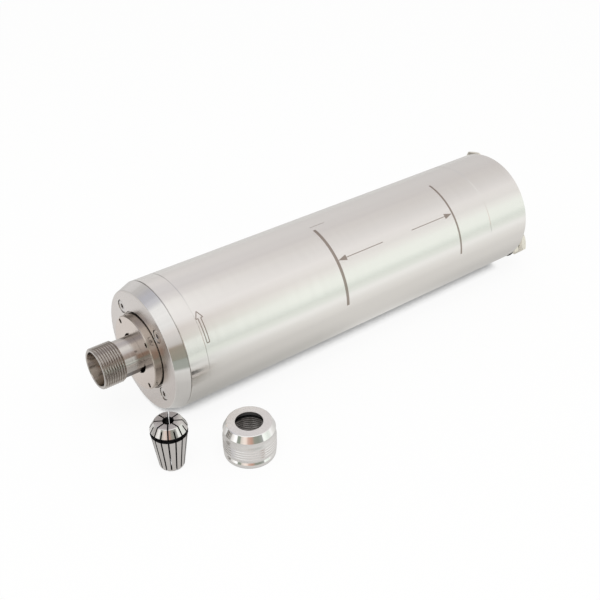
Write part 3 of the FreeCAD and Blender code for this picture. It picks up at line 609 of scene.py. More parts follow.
    # Die-cast aluminium of the rotor's cage
    CAGE = Finish("aluminium_cast", "C9CACC", roughness=0.45, grain=Grain.CAST, grain_mm=1.5, tone=0.08,
                  relief_mm=0.03)
    # Varnished electrical sheets, stacked
    SHEETS = Finish("electrical_sheets", "6E7176", roughness=0.4, grain=Grain.STACKED, grain_mm=0.6,
                    tone=0.3, relief_mm=0.02)
    # Enamelled copper wire, soaked in resin
    COPPER = Finish("enamelled_copper", "B5693C", metallic=0.8, roughness=0.35, grain=Grain.CAST,
                    grain_mm=1.0, tone=0.2, relief_mm=0.05)


RECORD_SLOTS = {part["node"]: part["material_slot"] for part in frame["record"]["subparts"]}


def place(piece: bpy.types.Object, finishes: Sequence[Finish], body: str, *nodes: str) -> bpy.types.Object:
    """Dresses a piece, lets it ride on a body and stand for CAD nodes.

    Args:
        piece: the new object.
        finishes: one finish for each of the mesh's material numbers.
        body: the body that it moves with.
        nodes: the nodes that it replaces.

    Returns:
        The piece.
    """
    for finish in finishes:
        piece.data.materials.append(finish.make())
    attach(piece, body)
    if nodes:
        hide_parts(*nodes)
    return piece


def of_faces(piece: bpy.types.Object, kind: str) -> np.ndarray:
    """Reads a vector of each face.

    Args:
        piece: the object.
        kind: Blender's name of the vector.

    Returns:
        A row of x, y and z for each face.
    """
    found = np.zeros(len(piece.data.polygons) * 3)
    piece.data.polygons.foreach_get(kind, found)
    return found.reshape(-1, 3)


def middles(piece: bpy.types.Object) -> np.ndarray:
    """The middle of each face, in millimetres."""
    return of_faces(piece, "center") / MM


def facings(piece: bpy.types.Object) -> np.ndarray:
    """The outward direction of each face."""
    return of_faces(piece, "normal")


def share_out(piece: bpy.types.Object, number: np.ndarray) -> None:
    """Gives each face the number of its material."""
    piece.data.polygons.foreach_set("material_index", number.astype(np.int32))


def turned(name: str, lathe: Lathe, rows: Sequence[Row], angles: np.ndarray, finish: Finish, body: str,
           replaced: str) -> None:
    """Makes and places a piece that is turned from one closed profile.

    Args:
        name: the piece's name.
        lathe: its axis.
        rows: (station, radius) pairs of the profile.
        angles: the columns' angles, in radians.
        finish: its one finish.
        body: the body that it moves with.
        replaced: the node that it stands for.
    """
    shell = Shell()
    shell.patch(lathe.turn(rows, angles), around=True, closed=True)
    place(shell.make(name), (finish,), body, replaced)


def drilled(name: str, profiles: Sequence[Sequence[Row]], holes: Holes, station: float, inner: float,
            outer: float, inward: int) -> bpy.types.Object:
    """Makes a piece that is turned about the spindle's axis and has one drilled ring face.

    Args:
        name: the piece's name.
        profiles: (station, radius) pairs of each part of its surface beside that face.
        holes: the face's holes.
        station: where the face lies.
        inner: the face's inner radius.
        outer: its outer radius.
        inward: 1 if the holes go towards higher stations, else -1.

    Returns:
        The new object.
    """
    shell = Shell()
    for rows in profiles:
        shell.patch(SPINDLE.turn(rows, holes.columns()), around=True)
    holes.drill(shell, SPINDLE, station, inner, outer, inward)
    return shell.make(name)


@dataclass(frozen=True)
class Housing:
    """The fixed body: cover, front band, jacket, rear housing and end plate."""

    edge: float = 0.2
    seam: float = 0.14
    seam_depth: float = 0.9
    cover_face: float = JOINT - 8.6
    cover_face_radius: float = 37.0
    cone_short: float = 0.02
    recess_radius: float = 24.0
    recess_depth: float = 4.2
    cover_bore: float = 16.4
    cover_lip_end: float = JOINT + 2.0
    screw_circle: float = 28.6
    screw_steps: Steps = ((0, 4.2), (0.1, 4.1), (4.6, 4.1), (4.6, 2.0), (8.4, 2.0), (8.4, 0))
    screw_window: float = 22.0
    front_band_end: float = JOINT + 12.1
    front_spigot: float = 24.0
    jacket_inner: float = 36.8
    spigot_inner: float = 20.6
    bearing_bore: float = 23.5
    bearing_end: float = JOINT + 32.0
    rear_band_start: float = REAR_FACE - 35.6
    rear_spigot: float = 16.0
    chamber_radius: float = 16.0
    chamber_depth: float = 9.0
    chamber_wall: float = 3.0
    sleeve_bore: float = 20.93
    lip_end: float = REAR_FACE - 48.7
    lip_radius: float = 12.4
    port_circle: float = 32.4
    port_angle: float = 136.5
    port_steps: Steps = ((0, 5.1), (0.2, 4.9), (10.8, 4.9), (11.0, 0))
    port_window: float = 18.0
    plate_radius: float = 21.8
    plate_face: float = REAR_FACE - 4.0
    plate_edge: float = 0.15
    plate_screw_circle: float = 18.9
    plate_screw_angle: float = 1.5
    plate_screw_steps: Steps = ((0, 2.35), (0.1, 2.25), (2.4, 2.25), (2.4, 1.25), (3.9, 1.25), (3.9, 0))
    plate_screw_window: float = 14.0
    socket_hole: float = 7.8
    columns: int = 256

    def front_cover(self) -> None:
        """Cone with the disc's recess and four counterbored holes, closed behind the screws' tips."""
        holes = Holes(4, self.screw_circle, HOLE_TURN, self.screw_steps, self.screw_window)
        recess_floor = self.cover_face + self.recess_depth
        face_inner = self.recess_radius + self.edge
        face_outer = self.cover_face_radius - self.edge
        rows = [
            (self.cover_face, face_outer),
            (self.cover_face + self.edge * 0.6, self.cover_face_radius + self.edge * 0.2),
            (JOINT - self.edge - self.seam, HOUSING_RADIUS - self.cone_short),
            (JOINT - self.seam, HOUSING_RADIUS - self.edge),
            (JOINT - self.seam, HOUSING_RADIUS - self.seam_depth),
            (JOINT, HOUSING_RADIUS - self.seam_depth), (JOINT, self.bearing_bore),
            (self.cover_lip_end, self.bearing_bore), (self.cover_lip_end, self.spigot_inner),
            (JOINT, self.spigot_inner), (JOINT, self.cover_bore), (recess_floor, self.cover_bore),
            (recess_floor, self.recess_radius), (self.cover_face + self.edge, self.recess_radius),
            (self.cover_face, face_inner)]
        piece = drilled("front_cover_cone", [rows], holes, self.cover_face, face_inner, face_outer, 1)
        share_out(piece, (facings(piece)[:, 0] < -SQUARE) | (middles(piece)[:, 0] > JOINT))
        place(piece, (Stock.CONE, Stock.FACE_STEEL), "housing", "front_cover")

    def front_band(self) -> None:
        """Band behind the cover, with the bearings' bore and the spigot inside the jacket."""
        spigot_end = self.front_band_end + self.front_spigot
        rows = [
            (JOINT, self.bearing_bore), (JOINT, HOUSING_RADIUS - self.seam_depth),
            (JOINT + self.seam, HOUSING_RADIUS - self.seam_depth),
            (JOINT + self.seam, HOUSING_RADIUS - self.edge),
            (JOINT + self.seam + self.edge, HOUSING_RADIUS),
            (self.front_band_end - self.edge, HOUSING_RADIUS),
            (self.front_band_end, HOUSING_RADIUS - self.edge), (self.front_band_end, self.jacket_inner),
            (spigot_end, self.jacket_inner), (spigot_end, self.spigot_inner),
            (self.bearing_end, self.spigot_inner), (self.bearing_end, self.bearing_bore)]
        turned("front_band", SPINDLE, rows, angles_round(self.columns), Stock.STAINLESS, "housing",
               "front_bearing_housing")

    def jacket(self) -> None:
        """The long tube."""
        rows = [
            (self.front_band_end, self.jacket_inner), (self.front_band_end, HOUSING_RADIUS - self.edge),
            (self.front_band_end + self.edge, HOUSING_RADIUS),
            (self.rear_band_start - self.edge, HOUSING_RADIUS),
            (self.rear_band_start, HOUSING_RADIUS - self.edge), (self.rear_band_start, self.jacket_inner)]
        turned("jacket_tube", SPINDLE, rows, angles_round(self.columns), Stock.STAINLESS, "housing",
               "outer_jacket")

    def rear_housing(self) -> None:
        """Rear band with the two water ports and the chamber behind the end plate."""
        ports = Holes(2, self.port_circle, self.port_angle, self.port_steps, self.port_window, gap_steps=108)
        spigot_start = self.rear_band_start - self.rear_spigot
        chamber_floor = self.plate_face - self.chamber_depth
        chamber_back = chamber_floor - self.chamber_wall
        face_outer = HOUSING_RADIUS - self.edge
        chamber = [
            (REAR_FACE, self.plate_radius), (self.plate_face, self.plate_radius),
            (self.plate_face, self.chamber_radius), (chamber_floor, self.chamber_radius),
            (chamber_floor, 0)]
        outside = [
            (chamber_back, 0), (chamber_back, self.sleeve_bore), (self.lip_end, self.sleeve_bore),
            (self.lip_end, self.lip_radius), (spigot_start, self.lip_radius),
            (spigot_start, self.jacket_inner), (self.rear_band_start, self.jacket_inner),
            (self.rear_band_start, HOUSING_RADIUS - self.edge),
            (self.rear_band_start + self.edge, HOUSING_RADIUS), (REAR_FACE - self.edge, HOUSING_RADIUS),
            (REAR_FACE, face_outer)]
        piece = drilled("rear_band", [chamber, outside], ports, REAR_FACE, self.plate_radius, face_outer, -1)
        share_out(piece, facings(piece)[:, 0] > SQUARE)
        place(piece, (Stock.STAINLESS, Stock.FACE_STEEL), "housing", "rear_housing")

    def end_plate(self) -> None:
        """Round plate with four screw recesses and the socket's hole."""
        holes = Holes(4, self.plate_screw_circle, self.plate_screw_angle, self.plate_screw_steps,
                      self.plate_screw_window, gap_steps=36)
        rim = self.plate_radius - self.plate_edge
        rows = [
            (REAR_FACE, self.socket_hole), (self.plate_face, self.socket_hole),
            (self.plate_face, self.plate_radius), (REAR_FACE - self.plate_edge, self.plate_radius),
            (REAR_FACE, rim)]
        piece = drilled("end_plate", [rows], holes, REAR_FACE, self.socket_hole, rim, -1)
        place(piece, (Stock.FACE_STEEL,), "housing", "terminal_plate")

    def build(self) -> None:
        """Builds every piece of the housing."""
        self.front_cover()
        self.front_band()
        self.jacket()
        self.rear_housing()
        self.end_plate()


@dataclass(frozen=True)
class SocketScrews:
    """A ring of socket head screws.

    Args:
        name: the piece's name.
        replaced: the node that it stands for.
        seat: station that the heads sit on.
        out: 1 where the heads point to +X, else -1.
        circle: radius of the circle that they lie on.
        first: angle of the first, in degrees.
        head_radius: radius of the head.
        head_height: height of the head.
        key_radius: corner radius of the hexagon socket.
        key_depth: depth of the socket.
        shank: radius of the shank.
        reach: length of the shank.
        count: how many screws.
    """

    name: str
    replaced: str
    seat: float
    out: int
    circle: float
    first: float
    head_radius: float
    head_height: float
    key_radius: float
    key_depth: float
    shank: float
    reach: float
    count: int = 4

    def build(self) -> None:
        """Turns each screw about its own axis; the socket's rows follow the hexagon's outline."""
        shell = Shell()
        key = Hexagon(self.key_radius * 2 * math.cos(math.radians(30)), self.first)
        angles = key.columns()
        outline = key.radius(angles)
        face = self.seat + self.out * self.head_height
        floor = face - self.out * self.key_depth
        break_size = self.head_radius * 0.1
        rows = [
            (floor - self.out * self.key_radius * 0.3, 0), (floor, outline),
            (face - self.out * break_size * 0.5, outline), (face, outline + break_size * 0.5),
            (face, self.head_radius - break_size),
            (face - self.out * break_size * 0.3, self.head_radius - break_size * 0.3),
            (face - self.out * break_size, self.head_radius), (self.seat, self.head_radius),
            (self.seat, self.shank), (self.seat - self.out * self.reach, self.shank),
            (self.seat - self.out * self.reach, 0)]
        for index in range(self.count):
            own = beside(0.0, self.circle, self.first + 360 / self.count * index)
            shell.patch(own.turn(rows, angles), around=True)
        place(shell.make(self.name), (Stock.SCREW,), "housing", self.replaced)


@dataclass(frozen=True)
class Rotor:
    """The shaft with its threaded nose and taper, and the disc in the cover's recess."""

    nose_face: float = JOINT - 39.1
    thread: Thread = Thread(12.5, 11.58, 1.5, 1)
    thread_steps: int = 16
    thread_length: float = 13.9
    thread_face_radius: float = 11.9
    neck_radius: float = 11.5
    flat_distance: float = 10.5
    flat_angle: float = -38.0
    mouth_radius: float = 10.4
    mouth_edge: float = 0.3
    nose_lip: float = 0.5
    taper_depth: float = 26.5
    taper_half_angle: float = 8.0
    drill_radius: float = 6.0
    drill_depth: float = 48.0
    disc_face: float = JOINT - 13.6
    disc_radius: float = 23.0
    disc_chamfer: float = 0.5
    disc_back: float = JOINT - 5.2
    disc_back_edge: float = 0.3
    disc_hub: float = 15.6
    pin_circle: float = 20.6
    pin_turn: float = 43.5
    pin_steps: Steps = ((0, 1.6), (0.15, 1.5), (4.0, 1.5), (4.5, 0))
    pin_window: float = 9.0
    seat_radius: float = 12.5
    neck_depth: float = 2.1
    shoulder_radius: float = 12.4
    shoulder_drop: float = 0.05
    bore_edge: float = 0.05
    bearing_start: float = JOINT + 2.0
    bearing_end: float = JOINT + 32.0
    collar_radius: float = 15.0
    collar_end: float = JOINT + 42.0
    core_radius: float = 12.0
    core_end: float = JOINT + 182.0
    rear_step_radius: float = 10.4
    rear_seat_start: float = REAR_FACE - 44.3
    rear_seat_end: float = REAR_FACE - 24.3
    rear_seat_radius: float = 8.5
    tail_radius: float = 8.3
    shaft_end: float = REAR_FACE - 18.3
    columns: int = 180
    # A face this nearly parallel to the spanner flats belongs to them
    PARALLEL: ClassVar[float] = 0.999

    def thread_rows(self, angles: np.ndarray) -> list[Row]:
        """Rows of the nose thread, cut to a cone at both ends.

        Args:
            angles: the columns' angles, in radians.

        Returns:
            The rows from the nose's face to the neck.
        """
        rows = []
        for step in np.arange(0, self.thread_length + 0.001, self.thread.pitch / self.thread_steps):
            ends = np.minimum(self.thread_face_radius + step, self.neck_radius + self.thread_length - step)
            rows.append((self.nose_face + step, np.minimum(self.thread.radius(step, angles), ends)))
        return rows

    def flatted(self, radius: float, angles: np.ndarray) -> np.ndarray:
        """A round section with two flats: the radius, or the flats' distance over the angle's cosine if less.

        Args:
            radius: the round section's radius.
            angles: the columns' angles, in radians.

        Returns:
            The section's radius at each angle.
        """
        toward = np.abs(np.cos(angles - math.radians(self.flat_angle)))
        return np.minimum(radius, self.flat_distance / np.maximum(toward, 1e-6))

    def shaft(self) -> None:
        """Bore, taper, thread, neck with two flats and the seats of bearings and core."""
        shell = Shell()
        angles = angles_round(self.columns)
        taper_end = self.nose_face + self.taper_depth
        lean = math.tan(math.radians(self.taper_half_angle))
        drill_end = self.nose_face + self.drill_depth
        thread_end = self.nose_face + self.thread_length
        shoulder_face = self.disc_face + self.shoulder_drop
        neck_end = self.disc_face + self.neck_depth
        neck = self.flatted(self.neck_radius, angles)
        shoulder = self.flatted(self.shoulder_radius, angles)
        rows = [
            (drill_end, 0), (drill_end - self.drill_radius / 2, self.drill_radius),
            (taper_end, self.drill_radius), (taper_end, self.mouth_radius - self.taper_depth * lean),
            (self.nose_face + self.mouth_edge, self.mouth_radius),
            (self.nose_face, self.mouth_radius + self.mouth_edge)]
        rows += self.thread_rows(angles)
        rows += [
            (thread_end, neck), (shoulder_face, neck), (shoulder_face, shoulder), (neck_end, shoulder),
            (neck_end, self.seat_radius), (self.bearing_end, self.seat_radius),
            (self.bearing_end, self.collar_radius), (self.collar_end, self.collar_radius),
            (self.collar_end, self.core_radius), (self.core_end, self.core_radius),
            (self.core_end, self.rear_step_radius), (self.rear_seat_start, self.rear_step_radius),
            (self.rear_seat_start, self.rear_seat_radius), (self.rear_seat_end, self.rear_seat_radius),
            (self.rear_seat_end, self.tail_radius), (self.shaft_end, self.tail_radius),
            (self.shaft_end, 0)]
        shell.patch(SPINDLE.turn(rows, angles), around=True)
        piece = shell.make("spindle_shaft", 24.0)
        centre, facing = middles(piece), facings(piece)
        station, reach = centre[:, 0], np.hypot(centre[:, 1], centre[:, 2])
        turn = math.radians(self.flat_angle)
        flat = np.abs(-facing[:, 1] * math.cos(turn) + facing[:, 2] * math.sin(turn)) > self.PARALLEL
        flat &= (station > thread_end) & (station < neck_end)
        cut = (station < thread_end) & (reach > self.mouth_radius + self.nose_lip)
        bore = (station < thread_end) & ~cut
        faced = (facing[:, 0] < -SQUARE) & (np.abs(station - self.disc_face) < 2 * self.shoulder_drop)
        # The spanner flats take the dark brown of painted shade and painted reflection
        share_out(piece, np.select([cut, bore, faced], [2, 3, 4], flat))
        place(piece, (Stock.GROUND_STEEL, Stock.SHADED_FLATS, Stock.THREADED, Stock.LAPPED, Stock.DISC_FACE),
              "rotor", "shaft")

    def disc(self) -> None:
        """Disc with four pin spanner holes and a hub that reaches the bearing."""
        holes = Holes(4, self.pin_circle, self.pin_turn, self.pin_steps, self.pin_window, gap_steps=36)
        inner = self.seat_radius + self.bore_edge
        rim = self.disc_radius - self.disc_chamfer
        rows = [
            (self.disc_face, rim), (self.disc_face + self.disc_chamfer, self.disc_radius),
            (self.disc_back - self.disc_back_edge, self.disc_radius),
            (self.disc_back, self.disc_radius - self.disc_back_edge), (self.disc_back, self.disc_hub),
            (self.bearing_start, self.disc_hub), (self.bearing_start, self.seat_radius),
            (self.disc_face + self.bore_edge, self.seat_radius), (self.disc_face, inner)]
        piece = drilled("cover_disc", [rows], holes, self.disc_face, inner, rim, 1)
        share_out(piece, facings(piece)[:, 0] < -SQUARE)
        place(piece, (Stock.TEMPERED, Stock.DISC_FACE), "rotor", "slinger_disc")

    def build(self) -> None:
        """Builds the shaft and the disc."""
        self.shaft()
        self.disc()


@dataclass(frozen=True)
class HoseFitting:
    """Compression fitting for a water hose: washer, body and nut about one axis.

    Stations are counted from the rear face.

    Args:
        name: inlet or outlet.
        angle: its angle round the spindle, in degrees.
    """

    name: str
    angle: float
    circle: float = 32.4
    washer: float = 1.5
    washer_radius: float = 8.3
    washer_lip: float = 0.4
    body_flats: float = 16.0
    body_end: float = 6.7
    groove_radius: float = 6.6
    nut_start: float = 7.9
    nut_end: float = 14.7
    nut_flats: float = 18.0
    nut_chamfer: float = 2.2
    nut_lip: float = 2.0
    mouth_gap: float = 0.2
    edge: float = 0.4
    corner: float = 44.8
    barrel: float = 7.4
    barrel_end: float = 12.1
    barrel_edge: float = 0.3
    hose: float = 4.05
    hose_stop: float = 3.7
    water_way: float = 2.4
    stem: float = 4.9
    stem_length: float = 9.0

    def make(self, ending: str, rows: Sequence[Row], angles: np.ndarray, finish: Finish,
             node_ending: str) -> None:
        """Turns one piece of the fitting about its own axis.

        Args:
            ending: the end of the piece's name.
            rows: (station, radius) pairs of its closed profile.
            angles: the columns' angles, in radians.
            finish: its one finish.
            node_ending: the end of the name of the node that it stands for.
        """
        turned(f"{self.name}_{ending}", beside(REAR_FACE, self.circle, self.angle), rows, angles, finish,
               "housing", f"{self.name}_{node_ending}")

    def seal_washer(self) -> None:
        """Rubber washer with round lips."""
        lip, corner = self.washer_lip, np.linspace(0, math.pi / 2, 4)
        inner = self.washer_radius - lip
        rows = [(0, self.stem), (0, inner)]
        rows += [(lip - lip * math.cos(t), inner + lip * math.sin(t)) for t in corner]
        rows += [(self.washer - lip + lip * math.sin(t), inner + lip * math.cos(t)) for t in corner]
        rows += [(self.washer, self.stem)]
        self.make("seal_washer", rows, angles_round(72), Stock.RUBBER, "washer")

    def body(self) -> None:
        """Hexagon bar with the stem in the port, the groove and the barrel that the hose is pushed into."""
        bar = Hexagon(self.body_flats, self.corner)
        rows = [
            (-self.stem_length, self.water_way), (-self.stem_length, self.stem - self.edge),
            (-self.stem_length + self.edge, self.stem), (self.washer, self.stem)]
        rows += bar.end_rows(self.washer, 1)
        rows += bar.end_rows(self.body_end, -1)[::-1]
        rows += [
            (self.body_end, self.groove_radius), (self.nut_start, self.groove_radius),
            (self.nut_start, self.barrel), (self.barrel_end - self.barrel_edge, self.barrel),
            (self.barrel_end, self.barrel - self.barrel_edge), (self.barrel_end, self.hose),
            (self.hose_stop, self.hose), (self.hose_stop, self.water_way)]
        self.make("body", rows, bar.columns(), Stock.NICKEL, "fitting")

    def hose_nut(self) -> None:
        """Hexagon nut over the barrel, with the hose's mouth."""
        bar = Hexagon(self.nut_flats, self.corner, self.nut_chamfer)
        lip_start = self.nut_end - self.nut_lip
        mouth = self.hose + self.mouth_gap
        rows = [(lip_start, mouth), (lip_start, self.barrel), (self.nut_start, self.barrel)]
        rows += bar.end_rows(self.nut_start, 1)
        rows += bar.end_rows(self.nut_end, -1)[::-1]
        rows += [(self.nut_end, mouth + self.edge), (self.nut_end - self.edge, mouth)]
        self.make("hose_nut", rows, bar.columns(), Stock.NICKEL, "nut")

    def build(self) -> None:
        """Builds the three pieces."""
        self.seal_washer()
        self.body()
        self.hose_nut()


@dataclass(frozen=True)
class CableSocket:
    """The electrical socket in the end plate: threaded shell, insert and pins."""

    radius: float = 7.8
    thread_depth: float = 0.55
    thread_pitch: float = 1.0
    thread_steps: int = 12
    end_radius: float = 7.2
    flange_radius: float = 10.2
    flange: float = 2.0
    reach: float = 12.0
    inside: float = 6.5
    edge: float = 0.3
    mouth_edge: float = 0.2
    shell_start: float = REAR_FACE - 7.4
    insert_face: float = REAR_FACE + 3.0
    insert_core: float = 0.6
    collar_steps: Steps = ((0, 1.1), (0.3, 0.95), (10.0, 0.95), (10.0, 0))
    collar_window: float = 40.0
    pin_radius: float = 0.9
    pin_circle: float = 3.3
    pin_count: int = 4
    pin_start: float = REAR_FACE - 9.4
    pin_end: float = REAR_FACE + 7.0

    def shell(self) -> None:
        """Flange and barrel with a fine thread outside."""
        angles = angles_round(120)
        thread = Thread(self.radius, self.radius - self.thread_depth, self.thread_pitch, 1)
        flange_end, end = REAR_FACE + self.flange, REAR_FACE + self.reach
        rows = [
            (self.shell_start, self.inside), (self.shell_start, self.radius), (REAR_FACE, self.radius),
            (REAR_FACE, self.flange_radius), (flange_end - self.edge, self.flange_radius),
            (flange_end, self.flange_radius - self.edge)]
        rows += [(step, np.minimum(thread.radius(step, angles), self.end_radius + (end - step)))
                 for step in np.arange(flange_end, end + 0.001, thread.pitch / self.thread_steps)]
        rows += [(end, self.inside + self.mouth_edge), (end - self.mouth_edge, self.inside)]
        turned("cable_socket_shell", SPINDLE, rows, angles, Stock.NICKEL, "housing", "socket_shell")

    def insert(self) -> None:
        """Plastic disc that holds the pins, with a collar round each."""
        holes = Holes(self.pin_count, self.pin_circle, HOLE_TURN, self.collar_steps, self.collar_window,
                      gap_steps=8)
        rim = self.inside - self.edge
        drop = self.insert_face - self.edge
        middle = [(self.insert_face, self.insert_core), (drop, self.insert_core * 0.6), (drop, 0)]
        outside = [(self.insert_face, rim), (drop, self.inside), (self.shell_start, self.inside),
                   (self.shell_start, 0)]
        piece = drilled("cable_socket_insert", [middle, outside], holes, self.insert_face, self.insert_core,
                        rim, -1)
        place(piece, (Stock.PLASTIC,), "housing", "socket_insert")

    def pins(self) -> None:
        """Contact pins with round tips."""
        shell = Shell()
        tip = np.linspace(0, math.pi / 2, 6)
        tip_start = self.pin_end - self.pin_radius
        rows = [(self.pin_start, 0), (self.pin_start, self.pin_radius)]
        rows += [(tip_start + self.pin_radius * math.sin(t), self.pin_radius * math.cos(t)) for t in tip]
        for index in range(self.pin_count):
            own = beside(0.0, self.pin_circle, HOLE_TURN + 360 / self.pin_count * index)
            shell.patch(own.turn(rows, angles_round(24)), around=True)
        place(shell.make("cable_socket_pins"), (Stock.GOLD,), "housing", "socket_contacts")

    def build(self) -> None:
        """Builds the shell, the insert and the pins."""
        self.shell()
        self.insert()
        self.pins()


@dataclass(frozen=True)
class Collet:
    """Spring collet, slit in turn from the top and from the foot."""

    radius: float = 10.5
    length: float = 31.0
    groove_low: float = 23.4
    groove_width: float = 2.9
    groove_depth: float = 1.5
    top_radius: float = 7.75
    foot_chamfer: float = 0.6
    edge: float = 0.25
    groove_edge: float = 0.1
    skirt_edge: Pair = (0.15, 0.3)
    bore: float = 3.0
    bore_length: float = 20.0
    relief: float = 3.6
    slit_width: float = 0.85
    slit_count: int = 8
    turn: float = -122.7
    stop_low: float = 1.4
    stop_high: float = 1.2
    half_angle: float = 8.0
    sector_steps: int = 8

    def outline(self) -> tuple[np.ndarray, np.ndarray]:
        """Outer side from the foot to the top, and the bore on the way back.

        Returns:
            The outline's radii and its heights.
        """
        lean = math.tan(math.radians(self.half_angle))
        foot = self.radius - self.groove_low * lean
        top = self.length - self.stop_high
        groove_top = self.groove_low + self.groove_width
        inner_groove = self.radius - self.groove_depth
        head_lean = (self.radius - self.top_radius) / (self.length - groove_top)
        bore_start = self.length - self.bore_length
        outer = [
            (foot - self.foot_chamfer, 0), (foot, self.foot_chamfer),
            (foot + (self.stop_low - self.foot_chamfer) * lean, self.stop_low),
            (self.radius - self.skirt_edge[0], self.groove_low - self.skirt_edge[1]),
            (self.radius, self.groove_low), (self.radius - self.edge, self.groove_low + self.groove_edge),
            (inner_groove, self.groove_low + self.edge), (inner_groove, groove_top - self.edge),
            (self.radius - self.edge, groove_top - self.groove_edge), (self.radius, groove_top),
            (self.radius - (top - groove_top) * head_lean, top),
            (self.top_radius + self.edge * 0.6, self.length - self.edge),
            (self.top_radius - self.edge, self.length)]
        inner = [
            (self.bore + self.edge, self.length), (self.bore, self.length - self.edge), (self.bore, top),
            (self.bore, bore_start), (self.relief, bore_start), (self.relief, self.stop_low),
            (self.relief, 0)]
        loop = np.array(outer + inner, float)
        return loop[:, 0], loop[:, 1]

    def build(self) -> None:
        """Sweeps the closed outline across 16 sectors and joins each pair beside a slit.

        A sector runs between the walls of two slits. A wall lies half a slit's width from the plane through
        the axis, so at a radius its angle from that plane is the arcsine of that half over the radius. A
        slit from the top ends above the foot, and the part of the outline below its end joins the sectors;
        the slits from the foot end below the top in the same way.
        """
        shell = Shell()
        own = Lathe(Axis.UPRIGHT, COLLET_CENTRE)
        radii, heights = self.outline()
        step = math.pi / self.slit_count
        start = math.radians(self.turn)
        inset = np.arcsin(self.slit_width / 2 / radii)
        low, high = heights <= self.stop_low + 1e-6, heights >= self.length - self.stop_high - 1e-6
        parts = np.linspace(0, 1, self.sector_steps + 1)
        across = np.linspace(-1, 1, 3)
        for index in range(2 * self.slit_count):
            middle = start + index * step
            span = step - 2 * inset
            columns = middle + inset[:, None] + span[:, None] * parts[None, :]
            shell.patch(own.points(heights[:, None], radii[:, None], columns), closed=True)
            bridge = low if index % 2 == 0 else high
            joined = np.flatnonzero(bridge)
            kept = np.flatnonzero(~bridge)
            if index % 2 == 0:
                order = np.concatenate([joined[joined > kept.max()], joined[joined < kept.min()]])
                wall = np.concatenate([[kept.min() - 1], kept, [kept.max() + 1]])
            else:
                order = joined
                wall = np.concatenate([np.arange(joined.max(), len(radii)), np.arange(0, joined.min() + 1)])
            for side in (-1, 1):
                shell.polygon(own.points(heights[wall], radii[wall], middle + side * inset[wall]))
            for part in (order, order[[0, -1]]):
                shell.patch(own.points(heights[part][:, None], radii[part][:, None],
                                       middle + inset[part][:, None] * across[None, :]))
        piece = shell.make("spring_collet")
        centre, facing = middles(piece) - np.array(COLLET_CENTRE), facings(piece)
        radius = np.hypot(centre[:, 0], centre[:, 1])
        outward = (centre[:, 0] * facing[:, 0] + centre[:, 1] * facing[:, 1]) / np.maximum(radius, 1e-6)
        height = centre[:, 2]
        near = 0.05
        groove = (height > self.groove_low - near) & (height < self.groove_low + self.groove_width + near)
        ends = (np.abs(facing[:, 2]) > 0.7) & (radius > self.bore + self.edge)
        ends &= (height > self.length - 2 * self.edge) | (height < self.edge)
        share_out(piece, ~((outward > 0.5) & ~groove | ends))
        place(piece, (Stock.COLLET, Stock.OXIDE), "collet", "collet")


